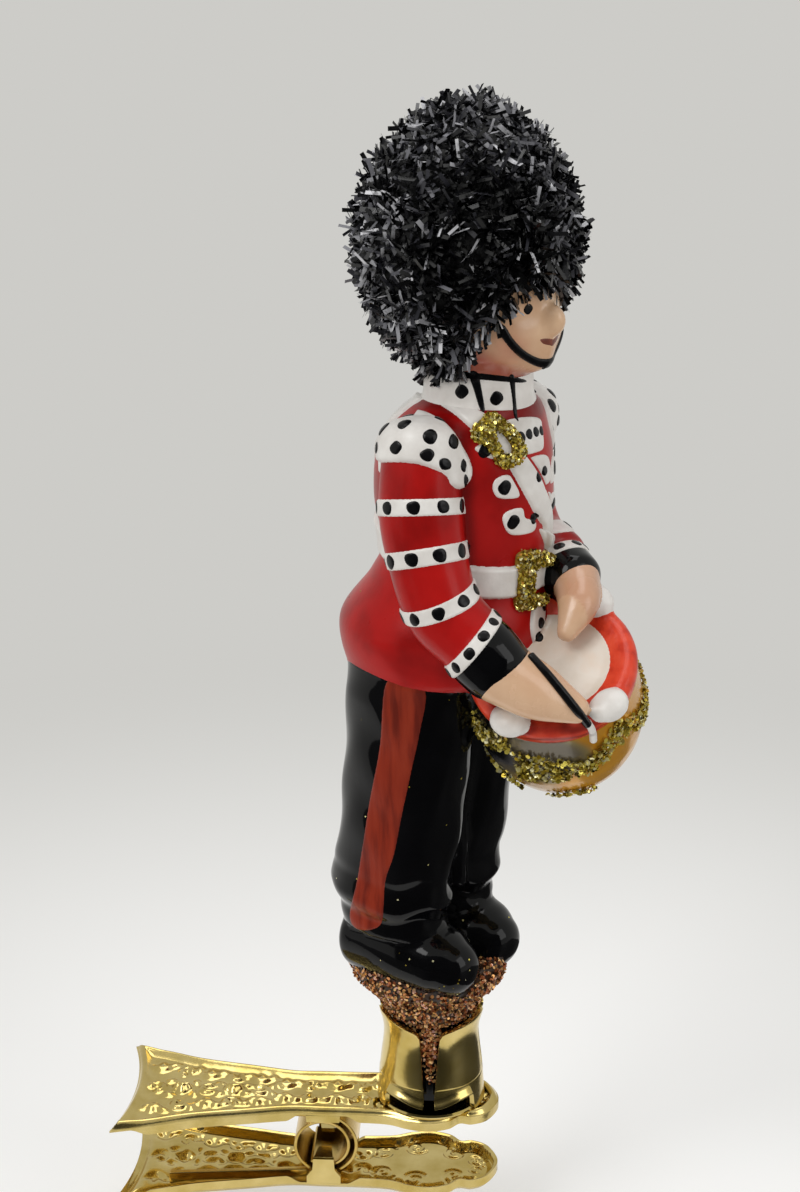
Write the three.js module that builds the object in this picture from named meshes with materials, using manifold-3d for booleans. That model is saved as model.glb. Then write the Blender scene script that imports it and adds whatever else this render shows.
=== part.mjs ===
// Guard drummer ornament of painted glass, held by its neck in a spring clip of stamped sheet.
// Millimetres, +Z up. X runs along the clip with the jaw towards +X.
// The origin is the middle of the jaw gap, straight below the figure's axis.
import * as THREE from 'three';
import { mergeVertices } from 'three/addons/utils/BufferGeometryUtils.js';
import Module from 'manifold-3d';

const wasm = await Module();
wasm.setup();

// Clearances
const FIT_GAP = 0.3;
const HINGE_GAP = 0.35;
const COIL_GAP = 0.46;

// Clip
const SHEET = 0.45;
const SHEET_APART = 8.2;
const GRIPPED = 6.4;
const HANDLE_REACH = 33;
const HANDLE_HALF = 8.5;
const HANDLE_HOLLOW = 1.4;
const HANDLE_FLANGE = 0.75;
const BARREL_BACK = 11.2;
const WAIST_HALF = 4.1;
const LOBE_HALF = 5.4;
const JAW_REACH = 7.2;
const TIP_HALF = 3.7;
const STRIP = 0.35;
const COIL_TURNS = 1.6;
const LEG_RUN = 7;
const EAR_WIDTH = 3.6;
const TONGUE_WIDTH = 2;
const TONGUE_RUN = 2.4;
const TONGUE_TOP = 1.5;
const TAB_DROP = 0.8;

// Holder on the upper jaw
const PIKE_RADIUS = 4.25;
const HOLDER_HEIGHT = 10.2;
const HOLDER_ROOT_FLARE = 0.7;
const HOLDER_LIP_FLARE = 0.35;
const HOLDER_SLIT = 0.9;
const HOLDER_SLIT_TOP = 2.8;
const HOLDER_WINDOW = 1.9;
const RIVET_RADIUS = 1.1;
const RIVET_HEAD = 1.9;
const RIVET_HEAD_HEIGHT = 0.5;

// Figure, from the pike upwards
const FIGURE_TURN = -33;
const GLASS_WALL = 1;
const LEAN = 3.6;
const PIKE_LENGTH = 9;
const BASE_HEIGHT = 4.6;
const BOOT_HEIGHT = 7.6;
const TROUSER_LENGTH = 27;
const SKIRT_HEIGHT = 12;
const CHEST_HEIGHT = 12.8;
const NECK_HEIGHT = 5.1;
const FACE_HEIGHT = 7.9;
const BEARSKIN_HEIGHT = 24;
const BEARSKIN_RADIUS = 9.9;
const BEARSKIN_TAPER = 0.17;
const TUFT_APART = 3;
const TUFT_RISE = 1.4;
const FACE_LEAN = 6.4;
const FACE_DEPTH = 6.6;
const FACE_HALF = 6.2;
const NECK_RADIUS = 4;
const COLLAR_THICK = 0.9;
const COLLAR_HEIGHT = 3.8;
const LEG_SPREAD = 4.3;
const LEG_DEPTH = 6.5;
const LEG_HALF = 5.1;
const BOOT_HALF = 4.2;
const BOOT_LENGTH = 15.6;
const SKIRT_RADIUS = 10.7;
const WAIST_RADIUS = 7.9;
const CHEST_RADIUS = 8.6;
const ARM_RADIUS = 3.9;
const CUFF_RADIUS = 3.5;
const CUFF_LENGTH = 4.6;
const HAND_HALF = 3.1;
const STICK_RADIUS = 0.6;
const BELT_WIDTH = 2.6;
const BELT_DIP = 12;
const CROSSBELT_WIDTH = 2.3;
const CROSSBELT_SLANT = 60;
const BELT_THICK = 0.6;
const BUCKLE_SIDE = 4.9;
const BUCKLE_BAR = 1.3;
const BUCKLE_THICK = 0.8;
const WING_THICK = 0.8;
const WING_DROP = 5.4;

// Drum
const DRUM_RADIUS = 8.1;
const DRUM_DEPTH = 13.4;
const DRUM_TILT_SIDE = 34;
const DRUM_TILT_FRONT = 12;
const DRUM_AHEAD = 11.6;
const DRUM_ASIDE = 2.4;
const DRUM_RISE = 3.5;
const HOOP_WIDTH = 2.2;
const SHELL_BULGE = 0.3;
const HOOP_BREADTH = 2.6;
const HEAD_SINK = 0.6;
const HEAD_THICK = 0.6;
const EAR_SIZE = 1.7;

// Colours
const GILT = 0xc9a24a;
const STEEL_STRIP = 0xa9a59a;
const BLACK_GLASS = 0x16161a;
const COPPER = 0xa8613a;
const RED = 0xb51f26;
const WHITE = 0xefebe4;
const SKIN = 0xe9b79a;
const FUR = 0x1d1d20;
const GOLD = 0xd6a63c;
const HOOP_RED = 0xcf4a24;
const DRUM_GOLD = 0xd9b24c;
const DRUM_SKIN = 0xf0e4dc;

const v = (x, y, z) => new THREE.Vector3(x, y, z);
const rad = THREE.MathUtils.degToRad;

// Bare skin of a geometry: corners joined by place alone, faces turned outwards.
function bareSkin(geometry) {
  const bare = new THREE.BufferGeometry();
  bare.setAttribute('position', geometry.getAttribute('position').clone());
  if (geometry.index) bare.setIndex(geometry.index.clone());
  const skin = mergeVertices(bare, 1e-4);
  const at = skin.getAttribute('position');
  const corners = skin.index.array;
  const corner = (i) => v(0, 0, 0).fromBufferAttribute(at, corners[i]);
  let volume = 0;
  for (let i = 0; i < corners.length; i += 3) volume += corner(i).dot(corner(i + 1).cross(corner(i + 2)));
  if (volume > 0) return skin;
  for (let i = 0; i < corners.length; i += 3) [corners[i], corners[i + 1]] = [corners[i + 1], corners[i]];
  return skin;
}

function solid(geometry) {
  const skin = bareSkin(geometry);
  const vertProperties = skin.getAttribute('position').array;
  const triVerts = Uint32Array.from(skin.index.array);
  return new wasm.Manifold(new wasm.Mesh({ numProp: 3, vertProperties, triVerts }));
}

function geometryOf(body) {
  const mesh = body.getMesh();
  const geometry = new THREE.BufferGeometry();
  const flat = new Float32Array(mesh.numVert * 3);
  for (let i = 0; i < mesh.numVert; i += 1) {
    for (let k = 0; k < 3; k += 1) flat[3 * i + k] = mesh.vertProperties[mesh.numProp * i + k];
  }
  geometry.setAttribute('position', new THREE.BufferAttribute(flat, 3));
  geometry.setIndex(new THREE.BufferAttribute(Uint32Array.from(mesh.triVerts), 1));
  const faces = geometry.toNonIndexed();
  faces.computeVertexNormals();
  return faces;
}

// The same skin moved out along its normals.
function swollen(geometry, by) {
  const skin = bareSkin(geometry);
  skin.computeVertexNormals();
  const at = skin.getAttribute('position');
  const out = skin.getAttribute('normal');
  for (let i = 0; i < at.count; i += 1) {
    const spot = v(0, 0, 0).fromBufferAttribute(at, i);
    spot.addScaledVector(v(0, 0, 0).fromBufferAttribute(out, i), by);
    at.setXYZ(i, spot.x, spot.y, spot.z);
  }
  return skin;
}

function largest(body) {
  const bodies = body.decompose();
  return bodies.reduce((best, next) => (next.volume() > best.volume() ? next : best));
}

// Skin through rings of equal count, each end closed by a fan.
function skinOf(rings) {
  const count = rings[0].length;
  const points = rings.flat();
  const faces = [];
  for (let r = 0; r + 1 < rings.length; r += 1) {
    for (let i = 0; i < count; i += 1) {
      const a = r * count + i;
      const b = r * count + (i + 1) % count;
      faces.push(a, b, b + count, a, b + count, a + count);
    }
  }
  [0, rings.length - 1].forEach((r) => {
    const centre = rings[r].reduce((sum, p) => sum.add(p), v(0, 0, 0)).divideScalar(count);
    const hub = points.push(centre) - 1;
    for (let i = 0; i < count; i += 1) {
      const a = r * count + i;
      const b = r * count + (i + 1) % count;
      faces.push(...(r === 0 ? [hub, b, a] : [hub, a, b]));
    }
  });
  const geometry = new THREE.BufferGeometry();
  const flat = points.flatMap((p) => p.toArray());
  geometry.setAttribute('position', new THREE.Float32BufferAttribute(flat, 3));
  geometry.setIndex(faces);
  return geometry;
}

// Upright body through level sections: height, forward offset, half depth, half width, left offset.
function upright(sections, segments = 22, steps = 2) {
  const along = new THREE.CatmullRomCurve3(sections.map((s) => v(s.z, s.ahead, s.left ?? 0)));
  const sizes = new THREE.CatmullRomCurve3(sections.map((s) => v(s.deep, s.half, 0)));
  const spans = (sections.length - 1) * steps;
  const rings = [];
  for (let k = 0; k <= spans; k += 1) {
    const centre = along.getPoint(k / spans);
    const size = sizes.getPoint(k / spans);
    const ring = [];
    for (let i = 0; i < segments; i += 1) {
      const turn = (2 * Math.PI * i) / segments;
      ring.push(v(centre.y + size.x * Math.cos(turn), centre.z + size.y * Math.sin(turn), centre.x));
    }
    rings.push(ring);
  }
  return skinOf(rings);
}

// Round limb through stations with a half width and a half height, its ends domed.
function limb(stations, up, segments = 14, steps = 3) {
  const line = new THREE.CatmullRomCurve3(stations.map((s) => s.at));
  const sizes = new THREE.CatmullRomCurve3(stations.map((s) => v(s.wide, s.tall ?? s.wide, 0)));
  const spans = (stations.length - 1) * steps;
  const rings = [];
  const ringAt = (t, shrink, shift) => {
    const along = line.getTangent(t);
    const side = along.clone().cross(up).normalize();
    const rise = along.clone().cross(side).normalize();
    const size = sizes.getPoint(t);
    const centre = line.getPoint(t).addScaledVector(along, shift * Math.min(size.x, size.y));
    const ring = [];
    for (let i = 0; i < segments; i += 1) {
      const turn = (2 * Math.PI * i) / segments;
      const spot = centre.clone().addScaledVector(side, shrink * size.x * Math.cos(turn));
      ring.push(spot.addScaledVector(rise, shrink * size.y * Math.sin(turn)));
    }
    rings.push(ring);
  };
  ringAt(0, 0.35, -0.5);
  ringAt(0, 0.75, -0.36);
  for (let k = 0; k <= spans; k += 1) ringAt(k / spans, 1, 0);
  ringAt(1, 0.75, 0.36);
  ringAt(1, 0.35, 0.5);
  return skinOf(rings);
}

function box(size, centre) {
  const geometry = new THREE.BoxGeometry(size.x, size.y, size.z);
  geometry.translate(centre.x, centre.y, centre.z);
  return geometry;
}

function globe(centre, radii, segments = 22) {
  const geometry = new THREE.SphereGeometry(1, segments, Math.round(segments / 2));
  geometry.scale(radii.x, radii.y, radii.z);
  geometry.translate(centre.x, centre.y, centre.z);
  return geometry;
}

// Globe of small facets, narrowing to its top, with some corners drawn out into tufts set apart.
function tufted(centre, radii, taper, apart, rise, detail = 6) {
  const skin = bareSkin(new THREE.IcosahedronGeometry(1, detail));
  const at = skin.getAttribute('position');
  const tufts = [];
  for (let i = 0; i < at.count; i += 1) {
    const corner = v(0, 0, 0).fromBufferAttribute(at, i);
    const out = corner.clone().divide(radii).normalize();
    const narrow = 1 - taper * Math.max(corner.z, 0) ** 2;
    const spot = corner.multiply(v(narrow, narrow, 1)).multiply(radii).add(centre);
    if (tufts.every((tuft) => tuft.distanceTo(spot) > apart)) {
      tufts.push(spot.clone());
      spot.addScaledVector(out, rise);
    }
    at.setXYZ(i, spot.x, spot.y, spot.z);
  }
  return skin;
}

// Solid of revolution about Z through radius and height pairs.
function turned(outline, segments = 30) {
  const geometry = new THREE.LatheGeometry(outline.map(([r, z]) => new THREE.Vector2(r, z)), segments);
  geometry.rotateX(Math.PI / 2);
  return geometry;
}

const group = new THREE.Group();
const clip = new THREE.Group();
const figure = new THREE.Group();
clip.name = 'clip';
figure.name = 'figure';
group.add(clip, figure);

function add(parent, name, body, colour, roughness, metalness = 0) {
  const material = new THREE.MeshStandardMaterial({ color: colour, roughness, metalness });
  const mesh = new THREE.Mesh(geometryOf(body), material);
  mesh.name = name;
  parent.add(mesh);
}

// Clip plates: the two jaws are one stamping, mirrored about the hinge's level.
const SHEET_IN = SHEET_APART / 2;
const SHEET_OUT = SHEET_IN + SHEET;
const JAW_LIP = (SHEET_APART - GRIPPED) / 2;

function plateOutline(inset) {
  const end = -HANDLE_REACH + inset;
  const tip = JAW_REACH - inset;
  const side = (x, half) => new THREE.Vector2(x, half - inset);
  const edge = [
    side(end, HANDLE_HALF),
    side(-0.87 * HANDLE_REACH, HANDLE_HALF - 1.2),
    side(-0.75 * HANDLE_REACH, (HANDLE_HALF + WAIST_HALF) / 2 - 0.3),
    side(-0.58 * HANDLE_REACH, WAIST_HALF + 0.8),
    side(-BARREL_BACK - EAR_WIDTH, WAIST_HALF),
    side(-BARREL_BACK, WAIST_HALF),
    side(-BARREL_BACK + EAR_WIDTH, WAIST_HALF),
    side(-0.6 * JAW_REACH, WAIST_HALF + 0.2),
    side(-0.3 * JAW_REACH, LOBE_HALF - 0.3),
    side(0, LOBE_HALF),
    side(0.28 * JAW_REACH, LOBE_HALF - 0.6),
    side(0.44 * JAW_REACH, TIP_HALF),
    side(0.62 * JAW_REACH, TIP_HALF + 0.1),
    side(0.85 * JAW_REACH, TIP_HALF - 0.9),
    new THREE.Vector2(tip, 0),
  ];
  const far = new THREE.SplineCurve(edge).getPoints(34);
  const near = far.slice(0, -1).reverse().map((p) => new THREE.Vector2(p.x, -p.y));
  const hollow = [-0.6, -0.3, 0, 0.3, 0.6].map(
    (t) => new THREE.Vector2(end + HANDLE_HOLLOW * (1 - t * t), t * (HANDLE_HALF - inset)),
  );
  return [...far, ...near, ...hollow];
}

function slab(points, low, high) {
  const depth = high - low;
  const geometry = new THREE.ExtrudeGeometry(new THREE.Shape(points), { depth, bevelEnabled: false });
  geometry.translate(0, 0, low);
  return solid(geometry);
}

// Short tab folded down over the end of the coil.
function tab(side) {
  return solid(box(
    v(EAR_WIDTH, SHEET, TAB_DROP + 0.1),
    v(-BARREL_BACK, side * (WAIST_HALF - SHEET / 2), SHEET_IN + (0.1 - TAB_DROP) / 2),
  ));
}

// Lug folded over the end of the coil, with a tongue bent into it.
function ear(side) {
  const riser = solid(box(
    v(EAR_WIDTH, SHEET, SHEET_IN - TONGUE_TOP + SHEET + 0.1),
    v(-BARREL_BACK, side * (WAIST_HALF - SHEET / 2), (SHEET_IN + TONGUE_TOP - SHEET + 0.1) / 2),
  ));
  const root = WAIST_HALF - SHEET / 2;
  const tongue = new THREE.Shape([
    new THREE.Vector2(-BARREL_BACK - TONGUE_WIDTH / 2, side * root),
    new THREE.Vector2(-BARREL_BACK - TONGUE_WIDTH / 3, side * (root - TONGUE_RUN)),
    new THREE.Vector2(-BARREL_BACK + TONGUE_WIDTH / 3, side * (root - TONGUE_RUN)),
    new THREE.Vector2(-BARREL_BACK + TONGUE_WIDTH / 2, side * root),
  ]);
  const flat = new THREE.ExtrudeGeometry(tongue, { depth: SHEET, bevelEnabled: false });
  flat.translate(0, 0, TONGUE_TOP - SHEET);
  return riser.add(solid(flat));
}

// Round hole for the rivet, through whatever it is taken out of.
function rivetHole() {
  const radius = RIVET_RADIUS + FIT_GAP;
  const top = SHEET_OUT + HOLDER_HEIGHT;
  return solid(turned([[0, 0], [radius, 0], [radius, top], [0, top]]));
}

// The upper jaw has the rivet's hole and hooks into the far end of the coil, the lower one into both.
function jaw(upper) {
  const sheet = slab(plateOutline(0), SHEET_IN, SHEET_OUT);
  const rimAt = (depth) => slab(plateOutline(0), SHEET_IN - depth, SHEET_IN + 0.1)
    .subtract(slab(plateOutline(SHEET), SHEET_IN - depth - 1, SHEET_IN + 1));
  const wide = 2 * HANDLE_HALF + 2;
  const between = (from, to) => {
    const size = v(to - from, wide, SHEET_APART);
    return solid(box(size, v((from + to) / 2, 0, SHEET_IN)));
  };
  const earRoom = 0.8 * EAR_WIDTH;
  const handleSpan = between(-0.9 * HANDLE_REACH, -BARREL_BACK - earRoom);
  const jawSpan = between(-BARREL_BACK + earRoom, JAW_REACH + 1);
  const handleRim = rimAt(HANDLE_FLANGE).intersect(handleSpan);
  const jawRim = rimAt(JAW_LIP).intersect(jawSpan);
  const plate = sheet.add(handleRim).add(jawRim).add(ear(1)).add(upper ? tab(-1) : ear(-1));
  return upper ? plate.subtract(rivetHole()) : plate;
}

add(clip, 'upper_jaw', jaw(true), GILT, 0.25, 1);
add(clip, 'lower_jaw', jaw(false).mirror([0, 0, 1]), GILT, 0.25, 1);

// Spring: one strip, a leg under the upper handle running into a coil round the hinge's axis.
const COIL_MID = SHEET_IN - FIT_GAP - STRIP / 2;
const COIL_PITCH = STRIP + COIL_GAP;
const COIL_HALF = WAIST_HALF - SHEET - HINGE_GAP;

function coilLine() {
  const line = [LEG_RUN, LEG_RUN / 2].map((run) => new THREE.Vector2(-BARREL_BACK - run, COIL_MID));
  const steps = Math.round(26 * COIL_TURNS);
  for (let i = 0; i <= steps; i += 1) {
    const turns = (COIL_TURNS * i) / steps;
    const radius = COIL_MID - COIL_PITCH * turns;
    const angle = Math.PI / 2 - 2 * Math.PI * turns;
    line.push(new THREE.Vector2(-BARREL_BACK + radius * Math.cos(angle), radius * Math.sin(angle)));
  }
  return line;
}

function coil() {
  const line = coilLine();
  const offset = (by) => line.map((p, i) => {
    const along = line[Math.min(i + 1, line.length - 1)].clone().sub(line[Math.max(i - 1, 0)]).normalize();
    return new THREE.Vector2(p.x - by * along.y, p.y + by * along.x);
  });
  let least = Infinity;
  for (let i = 2; i < line.length; i += 1) {
    for (let j = i + 13; j < line.length; j += 1) {
      least = Math.min(least, line[i].distanceTo(line[j]) - STRIP);
    }
  }
  console.log(`coil_spring least gap to itself ${least.toFixed(2)} mm`);
  const shape = new THREE.Shape([...offset(STRIP / 2), ...offset(-STRIP / 2).reverse()]);
  const geometry = new THREE.ExtrudeGeometry(shape, { depth: 2 * COIL_HALF, bevelEnabled: false });
  geometry.translate(0, 0, -COIL_HALF);
  geometry.rotateX(Math.PI / 2);
  return solid(geometry);
}

add(clip, 'coil_spring', coil(), STEEL_STRIP, 0.3, 1);

// Holder: a sprung tube on two roots, slit into four petals, riveted to the upper jaw.
const HOLDER_BASE = SHEET_OUT + FIT_GAP;
const HOLDER_FLOOR = HOLDER_BASE + SHEET;
const HOLDER_TOP = HOLDER_BASE + HOLDER_HEIGHT;
const HOLDER_IN = PIKE_RADIUS + FIT_GAP;

function holder() {
  const inner = [
    [HOLDER_IN + HOLDER_ROOT_FLARE, HOLDER_BASE],
    [HOLDER_IN + 0.6 * HOLDER_ROOT_FLARE, HOLDER_BASE + 0.35 * HOLDER_HEIGHT],
    [HOLDER_IN, HOLDER_BASE + 0.8 * HOLDER_HEIGHT],
    [HOLDER_IN + HOLDER_LIP_FLARE, HOLDER_TOP],
  ];
  const outer = inner.map(([r, z]) => [r + SHEET, z]).reverse();
  const tube = solid(turned([...inner, ...outer, inner[0]]));
  const floorRadius = HOLDER_IN + HOLDER_ROOT_FLARE + SHEET / 2;
  const floor = solid(turned([
    [0, HOLDER_BASE],
    [floorRadius, HOLDER_BASE],
    [floorRadius, HOLDER_FLOOR],
    [0, HOLDER_FLOOR],
  ]));
  const reach = 2 * (HOLDER_IN + 3);
  const petalFoot = HOLDER_FLOOR + HOLDER_WINDOW;
  const vee = new THREE.Shape([
    new THREE.Vector2(-HOLDER_SLIT / 2, petalFoot - 0.1),
    new THREE.Vector2(HOLDER_SLIT / 2, petalFoot - 0.1),
    new THREE.Vector2(HOLDER_SLIT_TOP / 2, HOLDER_TOP + 1),
    new THREE.Vector2(-HOLDER_SLIT_TOP / 2, HOLDER_TOP + 1),
  ]);
  const veeBar = new THREE.ExtrudeGeometry(vee, { depth: reach, bevelEnabled: false });
  veeBar.translate(0, 0, -reach / 2);
  veeBar.rotateX(Math.PI / 2);
  const slit = box(v(reach, HOLDER_SLIT, HOLDER_HEIGHT), v(0, 0, petalFoot + 1 + HOLDER_HEIGHT / 2));
  const window = box(v(1.5 * HOLDER_IN, reach, HOLDER_WINDOW), v(0, 0, HOLDER_FLOOR + HOLDER_WINDOW / 2));
  const petals = [veeBar, slit, window].reduce((left, cut) => left.subtract(solid(cut)), tube);
  return petals.add(floor).subtract(rivetHole());
}

function rivet() {
  const top = HOLDER_FLOOR + FIT_GAP;
  const bottom = SHEET_IN - FIT_GAP;
  return solid(turned([
    [0, bottom - RIVET_HEAD_HEIGHT],
    [0.8 * RIVET_HEAD, bottom - RIVET_HEAD_HEIGHT],
    [RIVET_HEAD, bottom],
    [RIVET_RADIUS, bottom],
    [RIVET_RADIUS, top],
    [RIVET_HEAD, top],
    [0.7 * RIVET_HEAD, top + RIVET_HEAD_HEIGHT],
    [0, top + RIVET_HEAD_HEIGHT],
  ], 24));
}

add(clip, 'pike_holder', holder(), GILT, 0.25, 1);
add(clip, 'holder_rivet', rivet(), GILT, 0.3, 1);

// Levels of the figure above the upper jaw's inner face.
figure.position.z = SHEET_IN;
figure.rotation.z = rad(FIGURE_TURN);
const PIKE_FOOT = HOLDER_FLOOR + 2 * FIT_GAP + RIVET_HEAD_HEIGHT - SHEET_IN;
const BASE_FOOT = PIKE_FOOT + PIKE_LENGTH;
const BOOT_FOOT = BASE_FOOT + BASE_HEIGHT;
const LEG_FOOT = BOOT_FOOT + BOOT_HEIGHT;
const HEM = LEG_FOOT + TROUSER_LENGTH;
const WAIST = HEM + SKIRT_HEIGHT;
const SHOULDER = WAIST + CHEST_HEIGHT;
const CHIN = SHOULDER + NECK_HEIGHT;
const BROW = CHIN + FACE_HEIGHT;
const CROWN = CHIN + BEARSKIN_HEIGHT;

const skins = {};
const around = (name, by = FIT_GAP) => solid(swollen(skins[name], by));
const cutBy = (body, names) => largest(names.reduce((left, name) => left.subtract(around(name)), body));
const seated = (name, names) => cutBy(solid(skins[name]), names);

// Coat: round trunk over a flared skirt, leaning a little forward.
const trunk = (z, ahead, deep, half = deep) => ({ z, ahead: ahead * LEAN, deep, half });
skins.coat = upright([
  trunk(HEM - 0.5, 0.45, 0.74 * SKIRT_RADIUS),
  trunk(HEM + 0.02 * SKIRT_HEIGHT, 0.45, 0.92 * SKIRT_RADIUS),
  trunk(HEM + 0.36 * SKIRT_HEIGHT, 0.5, SKIRT_RADIUS),
  trunk(HEM + 0.76 * SKIRT_HEIGHT, 0.8, 1.08 * WAIST_RADIUS),
  trunk(WAIST, 1, WAIST_RADIUS),
  trunk(WAIST + 0.4 * CHEST_HEIGHT, 0.96, CHEST_RADIUS),
  trunk(WAIST + 0.74 * CHEST_HEIGHT, 0.98, 0.95 * CHEST_RADIUS, 1.04 * CHEST_RADIUS),
  trunk(SHOULDER, 1.15, 0.76 * CHEST_RADIUS, 0.98 * CHEST_RADIUS),
  trunk(SHOULDER + 0.34 * NECK_HEIGHT, 1.36, 1.4 * NECK_RADIUS, 1.6 * NECK_RADIUS),
  trunk(SHOULDER + 0.5 * NECK_HEIGHT, 1.4, NECK_RADIUS, 1.05 * NECK_RADIUS),
], 26);

// Trouser legs and boots, parted by a crease down the middle.
const halfSpace = (side) => solid(box(v(60, 40, 140), v(0, side * (20 + FIT_GAP / 2), 70)));

function leg(side) {
  const at = (z, ahead, deep, half, spread = 1) => (
    { z, ahead, deep: deep * LEG_DEPTH, half: half * LEG_HALF, left: side * spread * LEG_SPREAD });
  return upright([
    at(LEG_FOOT - 0.16 * BOOT_HEIGHT, -1.7, 0.86, 0.9, 0.94),
    at(LEG_FOOT + 0.14 * TROUSER_LENGTH, -2, 1.02, 0.98),
    at(LEG_FOOT + 0.34 * TROUSER_LENGTH, -1, 1, 1),
    at(LEG_FOOT + 0.58 * TROUSER_LENGTH, -0.2, 1.02, 1.02),
    at(LEG_FOOT + 0.8 * TROUSER_LENGTH, 0.4, 1.07, 1.08),
    at(HEM + 0.08 * SKIRT_HEIGHT, 1.2, 1.12, 1.12),
  ], 20);
}

function boot(side) {
  const at = (ahead, rise, wide, tall, spread) => (
    { at: v(ahead * BOOT_LENGTH, side * spread * LEG_SPREAD, BOOT_FOOT + rise * BOOT_HEIGHT),
      wide: wide * BOOT_HALF, tall: tall * BOOT_HEIGHT });
  return limb([
    at(-0.36, 0.52, 0.92, 0.5, 0.92),
    at(-0.04, 0.52, 1.05, 0.52, 0.9),
    at(0.26, 0.44, 0.95, 0.44, 0.86),
    at(0.4, 0.36, 0.62, 0.3, 0.82),
  ], v(0, 0, 1));
}

['right', 'left'].forEach((name, i) => {
  const side = i === 0 ? -1 : 1;
  skins[`${name}_leg`] = leg(side);
  skins[`${name}_boot`] = boot(side);
});

const PIKE_TOP_RADIUS = 1.1 * PIKE_RADIUS;
const SOLE_TOP = BOOT_FOOT + 0.3 * BOOT_HEIGHT;
skins.glitter_base = upright([
  { z: BASE_FOOT, ahead: 0, deep: PIKE_TOP_RADIUS, half: PIKE_TOP_RADIUS },
  { z: BASE_FOOT + 0.45 * BASE_HEIGHT, ahead: -0.2, deep: 1.28 * PIKE_RADIUS, half: 1.3 * PIKE_RADIUS },
  { z: BOOT_FOOT, ahead: -0.5, deep: 0.52 * BOOT_LENGTH, half: LEG_SPREAD + 0.78 * BOOT_HALF },
  { z: SOLE_TOP, ahead: -0.5, deep: 0.53 * BOOT_LENGTH, half: LEG_SPREAD + 0.8 * BOOT_HALF },
]);

function pike() {
  const top = BASE_FOOT - FIT_GAP;
  const flare = PIKE_TOP_RADIUS - PIKE_RADIUS;
  const neck = HOLDER_TOP - SHEET_IN - 0.5;
  return solid(turned([
    [PIKE_RADIUS, PIKE_FOOT],
    [PIKE_RADIUS, neck],
    [PIKE_RADIUS + flare, top],
    [PIKE_RADIUS + flare - GLASS_WALL, top],
    [PIKE_RADIUS - GLASS_WALL, neck],
    [PIKE_RADIUS - GLASS_WALL, PIKE_FOOT],
    [PIKE_RADIUS, PIKE_FOOT],
  ]));
}

// Head under the bearskin cap.
const NECK_AHEAD = 1.4 * LEAN;
skins.head = upright([
  { z: SHOULDER + 0.56 * NECK_HEIGHT, ahead: NECK_AHEAD, deep: NECK_RADIUS, half: NECK_RADIUS },
  { z: CHIN - 0.1 * FACE_HEIGHT, ahead: NECK_AHEAD, deep: 1.05 * NECK_RADIUS, half: 1.02 * NECK_RADIUS },
  { z: CHIN + 0.06 * FACE_HEIGHT, ahead: FACE_LEAN, deep: 0.74 * FACE_DEPTH, half: 0.66 * FACE_HALF },
  { z: CHIN + 0.24 * FACE_HEIGHT, ahead: FACE_LEAN, deep: 0.93 * FACE_DEPTH, half: 0.86 * FACE_HALF },
  { z: CHIN + 0.6 * FACE_HEIGHT, ahead: FACE_LEAN, deep: FACE_DEPTH, half: FACE_HALF },
  { z: BROW, ahead: 0.95 * FACE_LEAN, deep: 0.96 * FACE_DEPTH, half: FACE_HALF },
  { z: BROW + 0.5 * FACE_HEIGHT, ahead: 0.85 * FACE_LEAN, deep: 0.75 * FACE_DEPTH, half: 0.78 * FACE_HALF },
  { z: BROW + 0.74 * FACE_HEIGHT, ahead: 0.8 * FACE_LEAN, deep: 0.3 * FACE_DEPTH, half: 0.3 * FACE_HALF },
]);
skins.nose = globe(v(FACE_LEAN + 0.98 * FACE_DEPTH, 0, CHIN + 0.66 * FACE_HEIGHT), v(1.1, 1, 1.4), 12);

const CAP_FOOT = CHIN - 0.08 * FACE_HEIGHT;
const CAP_AHEAD = 1.02 * LEAN;
const CAP_MIDDLE = v(CAP_AHEAD, 0, (CAP_FOOT + CROWN) / 2);
const CAP_RADII = v(BEARSKIN_RADIUS, BEARSKIN_RADIUS, (CROWN - CAP_FOOT) / 2);
skins.bearskin = tufted(CAP_MIDDLE, CAP_RADII, BEARSKIN_TAPER, TUFT_APART, TUFT_RISE);

function bearskin() {
  const open = box(v(60, 60, 30), v(0, 0, -15));
  open.rotateY(rad(-45));
  open.translate(NECK_AHEAD, 0, CHIN);
  return largest(seated('bearskin', ['head', 'collar', 'coat']).subtract(solid(open)));
}

const COLLAR_OUT = NECK_RADIUS + FIT_GAP + COLLAR_THICK;
const COLLAR_FOOT = SHOULDER + 0.2 * NECK_HEIGHT;
skins.collar = upright([
  { z: COLLAR_FOOT, ahead: NECK_AHEAD, deep: 1.06 * COLLAR_OUT, half: 1.06 * COLLAR_OUT },
  { z: COLLAR_FOOT + 0.5 * COLLAR_HEIGHT, ahead: NECK_AHEAD, deep: COLLAR_OUT, half: COLLAR_OUT },
  { z: COLLAR_FOOT + COLLAR_HEIGHT, ahead: NECK_AHEAD, deep: 0.98 * COLLAR_OUT, half: 0.98 * COLLAR_OUT },
]);

// Drum, modelled about its own axis with its rim at zero, then tilted.
const drumPlace = new THREE.Matrix4().makeRotationX(rad(DRUM_TILT_SIDE));
drumPlace.multiply(new THREE.Matrix4().makeRotationY(rad(DRUM_TILT_FRONT)));
drumPlace.setPosition(LEAN + DRUM_AHEAD, -DRUM_ASIDE, HEM + DRUM_RISE);
const onDrum = (x, y, z) => v(x, y, z).applyMatrix4(drumPlace);
const drumUp = v(0, 0, 1).transformDirection(drumPlace);
const SHELL_RADIUS = DRUM_RADIUS - 0.2;
const drumPiece = (outline) => turned(outline, 32).applyMatrix4(drumPlace);
const HEAD_RADIUS = DRUM_RADIUS - HOOP_BREADTH;
const HEAD_FOOT = -HEAD_SINK - HEAD_THICK;

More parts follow.
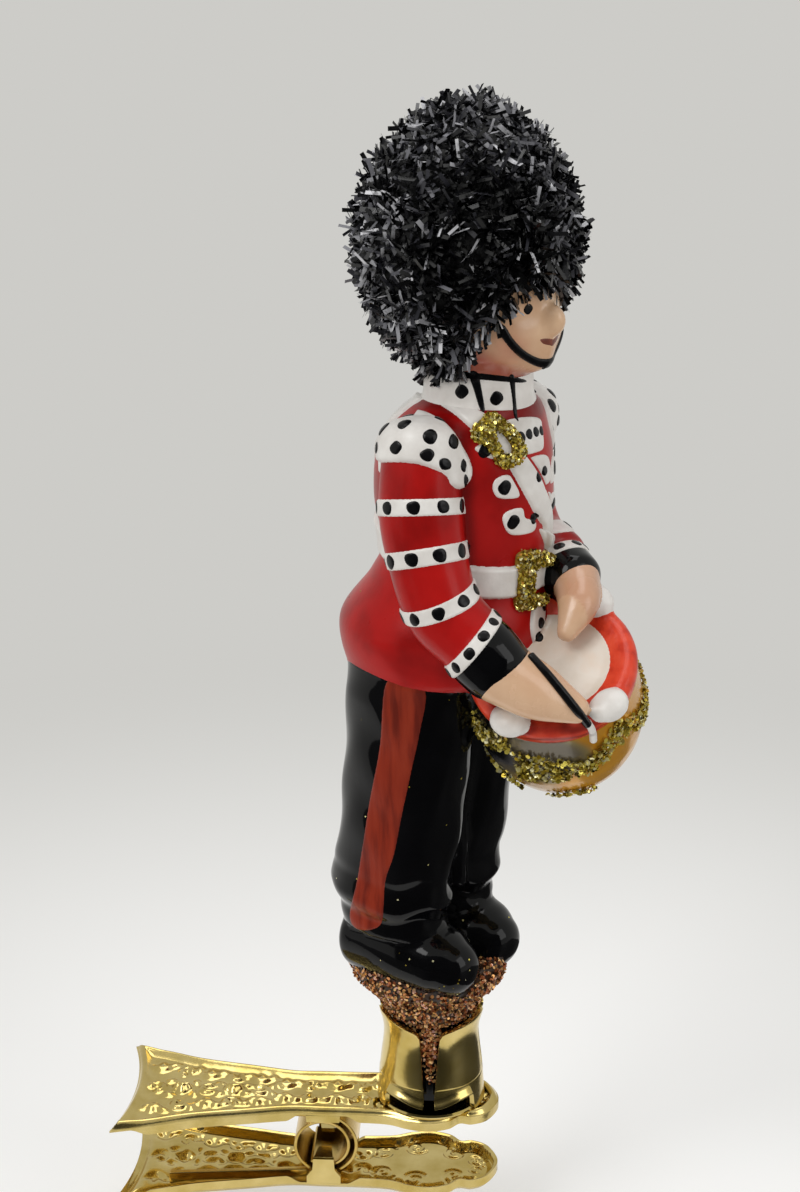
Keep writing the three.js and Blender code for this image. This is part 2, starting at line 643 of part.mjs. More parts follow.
skins.drum_shell = drumPiece([
  [0, -DRUM_DEPTH],
  [0.86 * SHELL_RADIUS, -DRUM_DEPTH],
  [0.97 * SHELL_RADIUS, -0.84 * DRUM_DEPTH],
  [SHELL_RADIUS + SHELL_BULGE, -0.55 * DRUM_DEPTH],
  [SHELL_RADIUS, -HOOP_WIDTH - FIT_GAP],
  [HEAD_RADIUS, -HOOP_WIDTH - FIT_GAP],
  [HEAD_RADIUS, HEAD_FOOT - FIT_GAP],
  [0, HEAD_FOOT - FIT_GAP],
]);
skins.drum_head = drumPiece([
  [0, HEAD_FOOT],
  [HEAD_RADIUS, HEAD_FOOT],
  [HEAD_RADIUS, -HEAD_SINK],
  [0, -HEAD_SINK],
]);
skins.drum_hoop = drumPiece([
  [HEAD_RADIUS + FIT_GAP, -HOOP_WIDTH],
  [DRUM_RADIUS - 0.3, -HOOP_WIDTH],
  [DRUM_RADIUS, -0.7 * HOOP_WIDTH],
  [DRUM_RADIUS, -0.3 * HOOP_WIDTH],
  [DRUM_RADIUS - 0.2 * HOOP_BREADTH, -0.06 * HOOP_WIDTH],
  [DRUM_RADIUS - 0.5 * HOOP_BREADTH, 0],
  [HEAD_RADIUS + FIT_GAP, -0.2 * HOOP_WIDTH],
  [HEAD_RADIUS + FIT_GAP, -HOOP_WIDTH],
]);

// Tension ears on the hoop, by their angle round the drum.
const earAngles = { far: 84, front: -18, near: -93 };
Object.entries(earAngles).forEach(([name, angle]) => {
  const at = v(DRUM_RADIUS - 0.15 * HOOP_BREADTH, 0, 0);
  const lump = globe(at, v(EAR_SIZE, 1.15 * EAR_SIZE, 0.7 * EAR_SIZE), 14);
  lump.rotateZ(rad(angle));
  skins[`drum_ear_${name}`] = lump.applyMatrix4(drumPlace);
});

// Arms: sleeve, cuff and hand follow one line from the shoulder to the drum.
const onHead = (x, y, z) => onDrum(x * DRUM_RADIUS, y * DRUM_RADIUS, z);
const armLine = {
  right: {
    shoulder: v(1.15 * LEAN, -0.9 * CHEST_RADIUS, SHOULDER - 0.06 * CHEST_HEIGHT),
    upper: v(1.42 * LEAN, -1.09 * CHEST_RADIUS, WAIST + 0.45 * CHEST_HEIGHT),
    lower: v(1.72 * LEAN, -1.14 * CHEST_RADIUS, WAIST + 0.13 * CHEST_HEIGHT),
    elbow: v(2.3 * LEAN, -1.18 * CHEST_RADIUS, HEM + 0.76 * SKIRT_HEIGHT),
    wrist: onHead(-0.24, -0.69, 1.42 * HAND_HALF),
    palm: onHead(0.2, -0.66, 0.95 * HAND_HALF),
    tips: onHead(0.72, -0.58, 0.36 * HAND_HALF),
    hand: HAND_HALF,
    cuff: CUFF_RADIUS,
  },
  left: {
    shoulder: v(1.15 * LEAN, 0.9 * CHEST_RADIUS, SHOULDER - 0.06 * CHEST_HEIGHT),
    upper: v(0.86 * LEAN, 1.07 * CHEST_RADIUS, WAIST + 0.45 * CHEST_HEIGHT),
    lower: v(0.96 * LEAN, 1.08 * CHEST_RADIUS, WAIST + 0.16 * CHEST_HEIGHT),
    elbow: v(1.5 * LEAN, 1.02 * CHEST_RADIUS, HEM + 0.9 * SKIRT_HEIGHT),
    wrist: onHead(-0.2, 1.06, 0.3 * HAND_HALF),
    palm: onHead(0.03, 0.68, 0.6 * HAND_HALF),
    tips: onHead(0.08, 0.24, 0.45 * HAND_HALF),
    hand: 0.78 * HAND_HALF,
    cuff: 0.82 * CUFF_RADIUS,
  },
};

Object.entries(armLine).forEach(([name, line]) => {
  const side = v(0, 1, 0);
  const cuffAt = (t) => line.wrist.clone().lerp(line.elbow, t);
  const back = Math.min(0.8, CUFF_LENGTH / line.wrist.distanceTo(line.elbow));
  skins[`${name}_sleeve`] = limb([
    { at: line.shoulder, wide: 0.95 * ARM_RADIUS },
    { at: line.upper, wide: ARM_RADIUS },
    { at: line.lower, wide: 0.95 * ARM_RADIUS },
    { at: line.elbow, wide: 0.92 * ARM_RADIUS },
    { at: cuffAt(0.9 * back), wide: 0.86 * ARM_RADIUS },
  ], side);
  skins[`${name}_cuff`] = limb([
    { at: cuffAt(back), wide: 0.9 * line.cuff },
    { at: cuffAt(0.5 * back), wide: line.cuff },
    { at: cuffAt(0), wide: 0.94 * line.cuff },
  ], side);
  skins[`${name}_hand`] = limb([
    { at: line.wrist, wide: line.hand, tall: 0.9 * line.hand },
    { at: line.palm, wide: 0.92 * line.hand, tall: 0.72 * line.hand },
    { at: line.tips, wide: 0.4 * line.hand, tall: 0.3 * line.hand },
  ], drumUp);
});

skins.drumstick = limb([
  { at: onHead(0.03, -0.44, 1.72 * HAND_HALF), wide: STICK_RADIUS },
  { at: onHead(0.47, -0.6, 1.2 * HAND_HALF), wide: STICK_RADIUS },
  { at: onHead(0.92, -0.75, 0.45 * HAND_HALF), wide: STICK_RADIUS },
], drumUp, 10, 2);

// Belts follow the coat's skin at a small distance.
const coatLayer = around('coat', FIT_GAP + BELT_THICK).subtract(around('coat'));

// Level slice at the waist, dipping towards the front, reaching down and up from the belt's middle.
function beltSlab(down, up) {
  const slice = box(v(60, 60, down + up), v(0, 0, (up - down) / 2));
  slice.rotateY(rad(BELT_DIP));
  return solid(slice.translate(LEAN, 0, WAIST));
}

function crossbeltSlab() {
  const slice = box(v(60, 60, CROSSBELT_WIDTH), v(0, 0, 0));
  slice.rotateX(rad(-CROSSBELT_SLANT));
  slice.translate(0, -0.28 * CHEST_RADIUS, WAIST + 0.74 * CHEST_HEIGHT);
  return solid(slice).subtract(beltSlab(60, BELT_WIDTH / 2 + FIT_GAP));
}

// Half of a strap: ahead of the arms or behind them.
function strapHalf(slab, side) {
  const half = solid(box(v(60, 60, 200), v(LEAN + side * (30 + FIT_GAP / 2), 0, 60)));
  return coatLayer.intersect(slab).intersect(half);
}

// Square buckle lying on the coat where a line from outside meets it.
function buckle(from, towards, side, turn) {
  const meet = new THREE.Raycaster(from, towards.clone().sub(from).normalize());
  const bothSides = new THREE.MeshBasicMaterial({ side: THREE.DoubleSide });
  const skin = new THREE.Mesh(bareSkin(skins.coat), bothSides);
  const { point, face } = meet.intersectObject(skin)[0];
  const square = (half) => [[-half, -half], [half, -half], [half, half], [-half, half]]
    .map(([x, y]) => new THREE.Vector2(x, y));
  const frame = new THREE.Shape(square(side / 2));
  frame.holes.push(new THREE.Path(square(side / 2 - BUCKLE_BAR)));
  const made = new THREE.ExtrudeGeometry(frame, { depth: BUCKLE_THICK + BELT_THICK, bevelEnabled: false });
  made.rotateZ(rad(turn));
  const out = face.normal.clone().multiplyScalar(face.normal.dot(meet.ray.direction) > 0 ? -1 : 1);
  const across = v(0, 0, 1).cross(out).normalize();
  const place = new THREE.Matrix4().makeBasis(across, out.clone().cross(across), out);
  place.setPosition(point.clone().addScaledVector(out, 2 * FIT_GAP));
  return solid(made.applyMatrix4(place));
}

function wing(name, side) {
  const sleeve = `${name}_sleeve`;
  const cap = globe(v(0, 0, 0), v(1.5 * WING_DROP, 1.1 * WING_DROP, WING_DROP), 20);
  cap.rotateY(rad(24));
  cap.translate(armLine[name].shoulder.x + 1, side * 1.1 * CHEST_RADIUS, SHOULDER + 0.42 * WING_DROP);
  const layer = around(sleeve, FIT_GAP + WING_THICK).subtract(around(sleeve));
  return cutBy(layer.intersect(solid(cap)), ['coat']);
}

const body = {
  coat: solid(skins.coat),
  right_leg: seated('right_leg', ['coat']).intersect(halfSpace(-1)),
  left_leg: seated('left_leg', ['coat']).intersect(halfSpace(1)),
  right_boot: seated('right_boot', ['right_leg', 'left_leg']).intersect(halfSpace(-1)),
  left_boot: seated('left_boot', ['right_leg', 'left_leg']).intersect(halfSpace(1)),
  glitter_base: seated('glitter_base', ['right_boot', 'left_boot', 'right_leg', 'left_leg']),
  pike: pike(),
  head: solid(skins.head).add(solid(skins.nose)),
  collar: seated('collar', ['head', 'coat']),
  bearskin: bearskin(),
  right_sleeve: seated('right_sleeve', ['coat']),
  left_sleeve: seated('left_sleeve', ['coat']),
  right_wing: wing('right', -1),
  left_wing: wing('left', 1),
};
const trunkPieces = ['coat', 'right_leg', 'left_leg', 'right_sleeve', 'left_sleeve'];
const drumPieces = ['drum_shell', 'drum_head', 'drum_hoop'];
drumPieces.forEach((name) => {
  body[name] = seated(name, trunkPieces);
});
const earPieces = Object.keys(earAngles).map((name) => `drum_ear_${name}`);
earPieces.forEach((name) => {
  body[name] = seated(name, [...drumPieces, ...trunkPieces]);
});
const wholeDrum = [...drumPieces, ...earPieces];
body.right_cuff = seated('right_cuff', [...trunkPieces, ...wholeDrum]);
body.left_cuff = seated('left_cuff', [...trunkPieces, ...wholeDrum]);
body.drumstick = seated('drumstick', ['right_cuff', ...wholeDrum]);
body.right_hand = seated('right_hand', ['right_cuff', 'drumstick', ...trunkPieces, ...wholeDrum]);
body.left_hand = seated('left_hand', ['left_cuff', 'drumstick', ...trunkPieces, ...wholeDrum]);
const armPieces = ['right_sleeve', 'left_sleeve', 'right_cuff', 'left_cuff', 'right_hand', 'left_hand'];
const strapCuts = [...armPieces, ...drumPieces, 'collar', 'drumstick'];
const WING_ROOM = WING_THICK + 2 * FIT_GAP;
const wingRoom = around('right_sleeve', WING_ROOM).add(around('left_sleeve', WING_ROOM));
['front', 'back'].forEach((name, i) => {
  const side = i === 0 ? 1 : -1;
  body[`waist_belt_${name}`] = cutBy(strapHalf(beltSlab(BELT_WIDTH / 2, BELT_WIDTH / 2), side), strapCuts);
  body[`crossbelt_${name}`] = cutBy(strapHalf(crossbeltSlab(), side).subtract(wingRoom), strapCuts);
});
const chestSpot = v(0, -0.56 * CHEST_RADIUS, WAIST + 0.95 * CHEST_HEIGHT);
const waistSpot = v(0, -0.1 * CHEST_RADIUS, WAIST - 0.14 * SKIRT_HEIGHT);
const ahead = (spot) => spot.clone().add(v(40, 0, 0));
const strapRoom = around('coat', 2 * FIT_GAP + BELT_THICK);
const onStrap = (made) => cutBy(made.subtract(strapRoom), strapCuts);
body.chest_buckle = onStrap(buckle(ahead(chestSpot), chestSpot, 0.8 * BUCKLE_SIDE, 30));
body.waist_buckle = onStrap(buckle(ahead(waistSpot), waistSpot, BUCKLE_SIDE, 0));

const finish = {
  coat: [RED, 0.3],
  leg: [BLACK_GLASS, 0.2],
  boot: [BLACK_GLASS, 0.15],
  base: [COPPER, 0.5],
  pike: [BLACK_GLASS, 0.15],
  head: [SKIN, 0.35],
  collar: [WHITE, 0.4],
  bearskin: [FUR, 0.6],
  sleeve: [RED, 0.3],
  wing: [WHITE, 0.4],
  drum_shell: [DRUM_GOLD, 0.35],
  drum_head: [DRUM_SKIN, 0.35],
  drum_hoop: [HOOP_RED, 0.3],
  drum_ear: [WHITE, 0.35],
  cuff: [BLACK_GLASS, 0.15],
  drumstick: [BLACK_GLASS, 0.3],
  hand: [SKIN, 0.35],
  belt: [WHITE, 0.4],
  buckle: [GOLD, 0.4, 0.6],
};
Object.entries(body).forEach(([name, made]) => {
  const kinds = Object.keys(finish).filter((kind) => name.includes(kind));
  const kind = kinds.find((word) => word === name) ?? kinds[kinds.length - 1];
  add(figure, name, made, ...finish[kind]);
});

export default group;
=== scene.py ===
import math

import bmesh
import bpy
import numpy as np
from mathutils import Matrix, Vector
from mathutils.bvhtree import BVHTree


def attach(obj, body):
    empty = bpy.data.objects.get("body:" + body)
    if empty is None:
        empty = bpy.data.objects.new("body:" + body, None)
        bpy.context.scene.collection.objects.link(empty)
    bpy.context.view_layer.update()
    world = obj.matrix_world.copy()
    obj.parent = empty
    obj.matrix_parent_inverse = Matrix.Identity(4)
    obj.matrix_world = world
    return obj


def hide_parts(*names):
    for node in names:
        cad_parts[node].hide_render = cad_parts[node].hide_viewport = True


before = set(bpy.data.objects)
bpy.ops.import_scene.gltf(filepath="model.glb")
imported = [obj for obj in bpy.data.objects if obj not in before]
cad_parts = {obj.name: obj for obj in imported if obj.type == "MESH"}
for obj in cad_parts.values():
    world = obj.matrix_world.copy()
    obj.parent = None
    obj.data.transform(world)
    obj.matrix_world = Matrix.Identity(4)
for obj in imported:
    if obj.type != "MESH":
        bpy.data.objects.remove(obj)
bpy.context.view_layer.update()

FIGURE, LOWER = "figure_on_upper_jaw", "lower_jaw_body"
rng = np.random.default_rng(1812)

# Sizes of the part in millimetres, under the names of its source.
FIT_GAP = 0.3
SHEET, SHEET_IN, GRIPPED = 0.45, 4.1, 6.4
HANDLE_REACH, HANDLE_HALF, HANDLE_HOLLOW, HANDLE_FLANGE = 33, 8.5, 1.4, 0.75
BARREL_BACK, WAIST_HALF, LOBE_HALF, JAW_REACH, TIP_HALF = 11.2, 4.1, 5.4, 7.2, 3.7
STRIP, COIL_GAP, COIL_TURNS, LEG_RUN, HINGE_GAP = 0.35, 0.46, 1.6, 7, 0.35
EAR_WIDTH, TONGUE_WIDTH, TONGUE_RUN, TONGUE_TOP, TAB_DROP = 3.6, 2, 2.4, 1.5, 0.8
PIKE_RADIUS, PIKE_LENGTH, GLASS_WALL = 4.25, 9, 1
HOLDER_HEIGHT, HOLDER_ROOT_FLARE, HOLDER_LIP_FLARE = 10.2, 0.7, 0.35
HOLDER_SLIT, HOLDER_SLIT_TOP, HOLDER_WINDOW = 0.9, 2.8, 1.9
RIVET_HEAD_HEIGHT = 0.5
LEAN, BASE_HEIGHT, BOOT_HEIGHT, TROUSER_LENGTH = 3.6, 4.6, 7.6, 27
SKIRT_HEIGHT, CHEST_HEIGHT, NECK_HEIGHT, FACE_HEIGHT = 12, 12.8, 5.1, 7.9
BEARSKIN_HEIGHT, BEARSKIN_RADIUS, BEARSKIN_TAPER = 24, 9.9, 0.17
FACE_LEAN, FACE_DEPTH, FACE_HALF, NECK_RADIUS = 6.4, 6.6, 6.2, 4
COLLAR_THICK, COLLAR_HEIGHT = 0.9, 3.8
LEG_SPREAD, LEG_DEPTH, LEG_HALF, BOOT_HALF, BOOT_LENGTH = 4.3, 6.5, 5.1, 4.2, 15.6
SKIRT_RADIUS, WAIST_RADIUS, CHEST_RADIUS = 10.7, 7.9, 8.6
ARM_RADIUS, CUFF_RADIUS, CUFF_LENGTH, HAND_HALF = 3.9, 3.5, 4.6, 3.1
BELT_WIDTH, BELT_DIP, CROSSBELT_WIDTH, CROSSBELT_SLANT = 2.6, 12, 2.3, 60
DRUM_RADIUS, DRUM_DEPTH, DRUM_TILT_SIDE, DRUM_TILT_FRONT = 8.1, 13.4, 34, 12
DRUM_AHEAD, DRUM_ASIDE, DRUM_RISE = 11.6, 2.4, 3.5
HOOP_WIDTH, SHELL_BULGE, HOOP_BREADTH, HEAD_SINK, EAR_SIZE = 2.2, 0.3, 2.6, 0.6, 1.7

SHEET_OUT = SHEET_IN + SHEET
HOLDER_BASE = SHEET_OUT + FIT_GAP
HOLDER_FLOOR = HOLDER_BASE + SHEET
HOLDER_TOP = HOLDER_BASE + HOLDER_HEIGHT
HOLDER_IN = PIKE_RADIUS + FIT_GAP
PIKE_FOOT = HOLDER_FLOOR + 2 * FIT_GAP + RIVET_HEAD_HEIGHT - SHEET_IN
BASE_FOOT = PIKE_FOOT + PIKE_LENGTH
BOOT_FOOT = BASE_FOOT + BASE_HEIGHT
LEG_FOOT = BOOT_FOOT + BOOT_HEIGHT
HEM = LEG_FOOT + TROUSER_LENGTH
WAIST = HEM + SKIRT_HEIGHT
SHOULDER = WAIST + CHEST_HEIGHT
CHIN = SHOULDER + NECK_HEIGHT
BROW = CHIN + FACE_HEIGHT
CROWN = CHIN + BEARSKIN_HEIGHT
VOXEL = 0.27


def turn(axis, degrees):
    return np.array(Matrix.Rotation(math.radians(degrees), 3, axis))


# The figure is described ahead, left and up of its own axis, and stands turned on the upper jaw.
FIGURE_TURN = turn("Z", -33)


def stand(points):
    """Figure millimetres to part millimetres."""
    return np.asarray(points) @ FIGURE_TURN.T + (0, 0, SHEET_IN)


def unstand(points):
    return (np.asarray(points) - (0, 0, SHEET_IN)) @ FIGURE_TURN


# Camera of the photograph, in part millimetres and pixels of an 800 by 1192 picture.
WIDE, HIGH, FOCAL = 800, 1192, 2220
EYE = np.array([7.5, -206.0, 131.6])
PITCH, YAW = math.radians(19), math.radians(-3)
AHEAD = np.array([math.sin(YAW) * math.cos(PITCH), math.cos(YAW) * math.cos(PITCH), -math.sin(PITCH)])
RIGHT = np.array([math.cos(YAW), -math.sin(YAW), 0])
DOWN = np.cross(AHEAD, RIGHT)


def pixels(points):
    """Where figure points show in the picture, and how far off they are."""
    q = stand(points) - EYE
    depth = q @ AHEAD
    u, v = WIDE / 2 + FOCAL * (q @ RIGHT) / depth, HIGH / 2 + FOCAL * (q @ DOWN) / depth
    return np.stack([u, v], -1), depth


def unit(a):
    return a / np.linalg.norm(a, axis=-1, keepdims=True)


def smooth(x, low, high):
    """Share of the way from low to high, eased at both ends."""
    t = np.clip((x - low) / (high - low), 0, 1)
    return t * t * (3 - 2 * t)


def bell(x):
    return np.exp(-(x**2))


def round_angles(count):
    return np.linspace(0, 2 * np.pi, count, endpoint=False)


def crosses(P, F):
    """Normals of triangles, as long as twice their areas."""
    return np.cross(P[F[:, 1]] - P[F[:, 0]], P[F[:, 2]] - P[F[:, 0]])


def hermite(b, c, m, n, w):
    """Cubic from b to c that leaves along m and arrives along n, at a share of its length."""
    return b + m * w + (3 * c - 3 * b - 2 * m - n) * w**2 + (2 * b - 2 * c + m + n) * w**3


def spline(points, ts):
    """Points of a centripetal curve through given points, by their share of its spans."""
    p = np.asarray(points, float)
    last = len(p) - 1
    made = []
    for t in ts:
        i = min(int(last * t), last - 1)
        w = last * t - i
        b, c = p[i], p[i + 1]
        a = p[i - 1] if i > 0 else 2 * p[0] - p[1]
        d = p[i + 2] if i + 2 <= last else 2 * p[-1] - p[-2]
        gaps = [max(np.linalg.norm(y - x) ** 0.5, 1e-4) for x, y in ((a, b), (b, c), (c, d))]
        gaps = [gaps[1] if g <= 1e-4 else g for g in gaps]
        u, v, w3 = gaps
        m = ((b - a) / u - (c - a) / (u + v) + (c - b) / v) * v
        n = ((c - b) / v - (d - b) / (v + w3) + (d - c) / w3) * v
        made.append(hermite(b, c, m, n, w))
    return np.array(made)


def closed(rings):
    """Skin through rings of points, its ends closed by fans."""
    rings = np.array(rings, float)
    rows, count = rings.shape[:2]
    grid = np.arange(rows * count).reshape(rows, count)
    nxt = np.roll(grid, -1, 1)
    faces = np.stack([grid[:-1], nxt[:-1], nxt[1:], grid[1:]], -1).reshape(-1, 4).tolist()
    for row, hub in ((grid[0][::-1], rows * count), (grid[-1], rows * count + 1)):
        faces += [[hub, int(row[i]), int(row[(i + 1) % count])] for i in range(count)]
    return np.concatenate([rings.reshape(-1, 3), rings[[0, -1]].mean(1)]), faces


def upright(sections, segments=72, steps=9):
    """Body through level sections: height, forward offset, half depth, half width, left offset."""
    s = np.array([[*row, 0][:5] for row in sections], float)
    ts = np.linspace(0, 1, (len(s) - 1) * steps + 1)
    line, size = spline(s[:, [0, 1, 4]], ts), spline(np.c_[s[:, 2:4], 0 * s[:, :1]], ts)
    a = round_angles(segments)
    x = line[:, 1:2] + size[:, :1] * np.cos(a)
    y = line[:, 2:3] + size[:, 1:2] * np.sin(a)
    return closed(np.stack([x, y, line[:, :1] + 0 * a], -1))


def limb(stations, up, segments=44, steps=10):
    """Round limb through places with a half width and a half height, its ends domed."""
    points, sizes = [s[0] for s in stations], [(s[1], s[2], 0) for s in stations]
    spans = (len(stations) - 1) * steps
    a = round_angles(segments)[:, None]
    rings = []

    def ring(t, shrink, shift):
        here, back, on = spline(points, [t, max(t - 1e-4, 0), min(t + 1e-4, 1)])
        along = unit(on - back)
        side = unit(np.cross(along, up))
        rise = np.cross(along, side)
        size = spline(sizes, [t])[0]
        centre = here + along * shift * min(size[:2])
        rings.append(centre + shrink * (size[0] * np.cos(a) * side + size[1] * np.sin(a) * rise))

    dome = np.radians([70, 52, 34, 16])
    for d in dome:
        ring(0, math.cos(d), -0.52 * math.sin(d))
    for k in range(spans + 1):
        ring(k / spans, 1, 0)
    for d in dome[::-1]:
        ring(1, math.cos(d), 0.52 * math.sin(d))
    return closed(rings)


def turned(outline, segments=96):
    """Solid of revolution about Z through radius and height pairs."""
    a = round_angles(segments)
    return closed([np.stack([r * np.cos(a), r * np.sin(a), z + 0 * a], -1) for r, z in outline])


def globe(centre, radii, segments=64):
    """Closed ball drawn out along the axes."""
    t = np.linspace(0.01, np.pi - 0.01, segments // 2)
    verts, faces = turned(np.stack([np.sin(t), -np.cos(t)], -1), segments)
    return verts * radii + centre, faces


def moved(skin, matrix, by):
    return skin[0] @ matrix.T + by, skin[1]


def add(name, data):
    """New object in the scene."""
    obj = bpy.data.objects.new(name, data)
    bpy.context.scene.collection.objects.link(obj)
    return obj


def mesh_of(name, points, faces):
    mesh = bpy.data.meshes.new(name)
    mesh.from_pydata(points, [], faces)
    return mesh


def material_of(name):
    """New material, with its nodes and its main shader."""
    mat = bpy.data.materials.new(name)
    mat.use_nodes = True
    return mat, mat.node_tree, mat.node_tree.nodes["Principled BSDF"]


def put(node, **values):
    """Values of a node's sockets, by their names with underscores for spaces."""
    for key, value in values.items():
        node.inputs[key.replace("_", " ")].default_value = value


def new_node(tree, kind, **values):
    made = tree.nodes.new("ShaderNode" + kind)
    put(made, **values)
    return made


# Finishes that the pieces are painted or plated with.
NOISE_RANGE = (0.3, 0.7)


def lin(code):
    """Linear colour of a screen colour written in hexadecimal."""
    c = np.array([int(code[i:i + 2], 16) for i in (0, 2, 4)]) / 255
    return (*np.where(c <= 0.04045, c / 12.92, ((c + 0.055) / 1.055) ** 2.4), 1)


def finish(name, colours, rough, metal=0.0, coat=(0.0, 0.06), specular=0.5, size=1.5,
           stretch=(1, 1, 1), bump=None, rough_swing=0.06, tone=None, blush=None):
    """Painted or plated surface: colours mottled by noise of a size in millimetres, or picked by a tone.

    A coat is its weight and roughness, and a bump its height and size in millimetres.
    """
    mat, tree, shader = material_of(name)
    link = tree.links.new
    put(shader, Metallic=metal, Specular_IOR_Level=specular, Coat_Weight=coat[0], Coat_Roughness=coat[1])
    scaled = new_node(tree, "Mapping", Scale=stretch)
    link(new_node(tree, "TexCoord").outputs["Object"], scaled.inputs["Vector"])

    def noise(millimetres, detail=4.0):
        n = new_node(tree, "TexNoise", Scale=1000 / millimetres, Detail=detail)
        link(scaled.outputs["Vector"], n.inputs["Vector"])
        return n.outputs["Fac"]

    def painted(key):
        n = new_node(tree, "Attribute")
        n.attribute_name = key
        return n.outputs["Fac"]

    ramp = new_node(tree, "ValToRGB")
    stops = ramp.color_ramp.elements
    low, high = (0.0, 1.0) if tone else NOISE_RANGE
    for i, c in enumerate(colours):
        at = low + (high - low) * i / max(len(colours) - 1, 1)
        stop = stops[i] if i < 2 else stops.new(at)
        stop.position = at
        stop.color = lin(c)
    link(painted(tone) if tone else noise(size), ramp.inputs["Fac"])
    colour = ramp.outputs["Color"]
    # A second colour mixed in by an attribute: painted shade in creases, under the jaw and on the hands,
    # blush on the cheeks, darker streaks on the hoop and a flesh tint on the drum skin.
    if blush:
        mix = new_node(tree, "Mix")
        mix.data_type = "RGBA"
        put(mix, B=lin(blush))
        link(painted("blush"), mix.inputs["Factor"])
        link(colour, mix.inputs["A"])
        colour = mix.outputs["Result"]
    link(colour, shader.inputs["Base Color"])
    swing = new_node(tree, "MapRange", To_Min=max(rough - rough_swing, 0.02), To_Max=rough + rough_swing)
    link(noise(0.7 * size), swing.inputs["Value"])
    link(swing.outputs["Result"], shader.inputs["Roughness"])
    if bump:
        push = new_node(tree, "Bump", Strength=1.0, Distance=bump[0] / 1000)
        link(noise(bump[1], 2.0), push.inputs["Height"])
        link(push.outputs["Normal"], shader.inputs["Normal"])
    return mat


# The red's second colour is painted shade, darker red in the creases between coat, sleeves and collar.
RED = finish("satin_red_paint", ["880705", "ac0e0c", "ba1310"], 0.3, coat=(0.08, 0.16),
             specular=0.18, size=7, bump=(0.012, 0.9), blush="3c0203")
BLACK = finish("gloss_black_paint", ["040405", "09090b"], 0.08, coat=(0.08, 0.03),
               specular=0.2, size=6, bump=(0.016, 2.6), rough_swing=0.03)
WHITE = finish("raised_white_paint", ["ddd8d2", "f1eee9"], 0.36, size=2.2, bump=(0.03, 0.5))
DOT = finish("black_dot_paint", ["060608", "101012"], 0.24, specular=0.25, size=0.8,
             bump=(0.02, 0.4))
# Its second colour is painted shade under the jaw and over the hands, and pink blush on the cheeks.
SKIN = finish("pearl_flesh_paint", ["d6ab86", "e9c6a2"], 0.26, coat=(0.3, 0.1), size=5,
              bump=(0.008, 1.1), blush="a4483a")
LIP = finish("mouth_paint", ["6a3526", "8a4a38"], 0.35, size=0.7)
STRIPE = finish("brick_red_paint", ["6a1b0c", "8c2a13", "98331a"], 0.38, specular=0.2, size=1.1,
                stretch=(1, 1, 0.12), bump=(0.03, 0.35))
# Its second colour gives darker streaks on the near part of the hoop.
HOOP = finish("orange_red_paint", ["bd2a17", "dd4227", "e65034"], 0.3, coat=(0.1, 0.06),
              specular=0.3, size=1.6, bump=(0.025, 0.4), blush="6a0c08")
PEARL = finish("pearl_white_paint", ["d6c9b7", "eae1d4", "e8d2bc"], 0.22, coat=(0.4, 0.08),
               size=6, bump=(0.01, 1.4), blush="e3a988")
SHELL = finish("gold_over_silver_paint", ["0b0b0d", "4e4c4e", "8d7c50", "c98a22", "d79a2c"],
               0.24, metal=0.35, coat=(0.3, 0.06), size=1.0, tone="tone", bump=(0.015, 0.8))
GLUE = finish("dark_glue", ["22130a", "432711"], 0.4, size=1.2, bump=(0.05, 0.3))
GOLD_GLUE = finish("gold_glue", ["6d5312", "a07c22"], 0.42, metal=0.3, size=0.8,
                   bump=(0.06, 0.3))
COPPER = finish("copper_glitter", ["4a2413", "a85a30", "d8945a", "f2c47e", "e0ada0"], 0.2,
                metal=0.6, tone="tone", size=0.5)
GOLD = finish("gold_glitter", ["2e240a", "c4aa36", "fae86c", "fffbd0"], 0.16, metal=0.6,
              tone="tone", size=0.5)
GILT = finish("gilt_stamped_sheet", ["c6ad60", "e2cc88"], 0.17, metal=1.0, size=3.0,
              bump=(0.012, 0.8), rough_swing=0.07)
SPRING = finish("gilt_spring_strip", ["c2a253", "dfc177"], 0.24, metal=1.0, size=2.0,
                stretch=(1, 0.1, 1), bump=(0.01, 0.3))
# Its palest stops are painted highlights: glints on the black foil.
TINSEL = finish("black_foil_strips_with_painted_glints", ["020203", "0a0a0c", "34343a", "86868c", "e6e6ea"], 0.28,
                tone="tone", size=0.6, specular=0.55)
FUR = finish("black_glue", ["030303", "0a0a0b"], 0.6, size=1.0, bump=(0.1, 0.5))


def make(name, points, faces, material, replaces=(), body=FIGURE, rounded=True, values=None):
    """New piece from part millimetres, riding on its body."""
    faces = faces.tolist() if isinstance(faces, np.ndarray) else faces
    mesh = mesh_of(name, (np.asarray(points) / 1000).tolist(), faces)
    mesh.polygons.foreach_set("use_smooth", np.full(len(mesh.polygons), rounded))
    for key, value in (values or {}).items():
        mesh.attributes.new(key, "FLOAT", "POINT").data.foreach_set("value", np.asarray(value, np.float32))
    mesh.materials.append(material)
    mesh.update()
    obj = add(name, mesh)
    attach(obj, body)
    if replaces:
        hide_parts(*replaces)
    return obj


# Skins of the blown glass, by the part's own lofts but finer.
skins = {}


def trunk(z, ahead, deep, half=None):
    """Section of the trunk, its forward offset in shares of the lean."""
    return (z, ahead * LEAN, deep, half or deep)


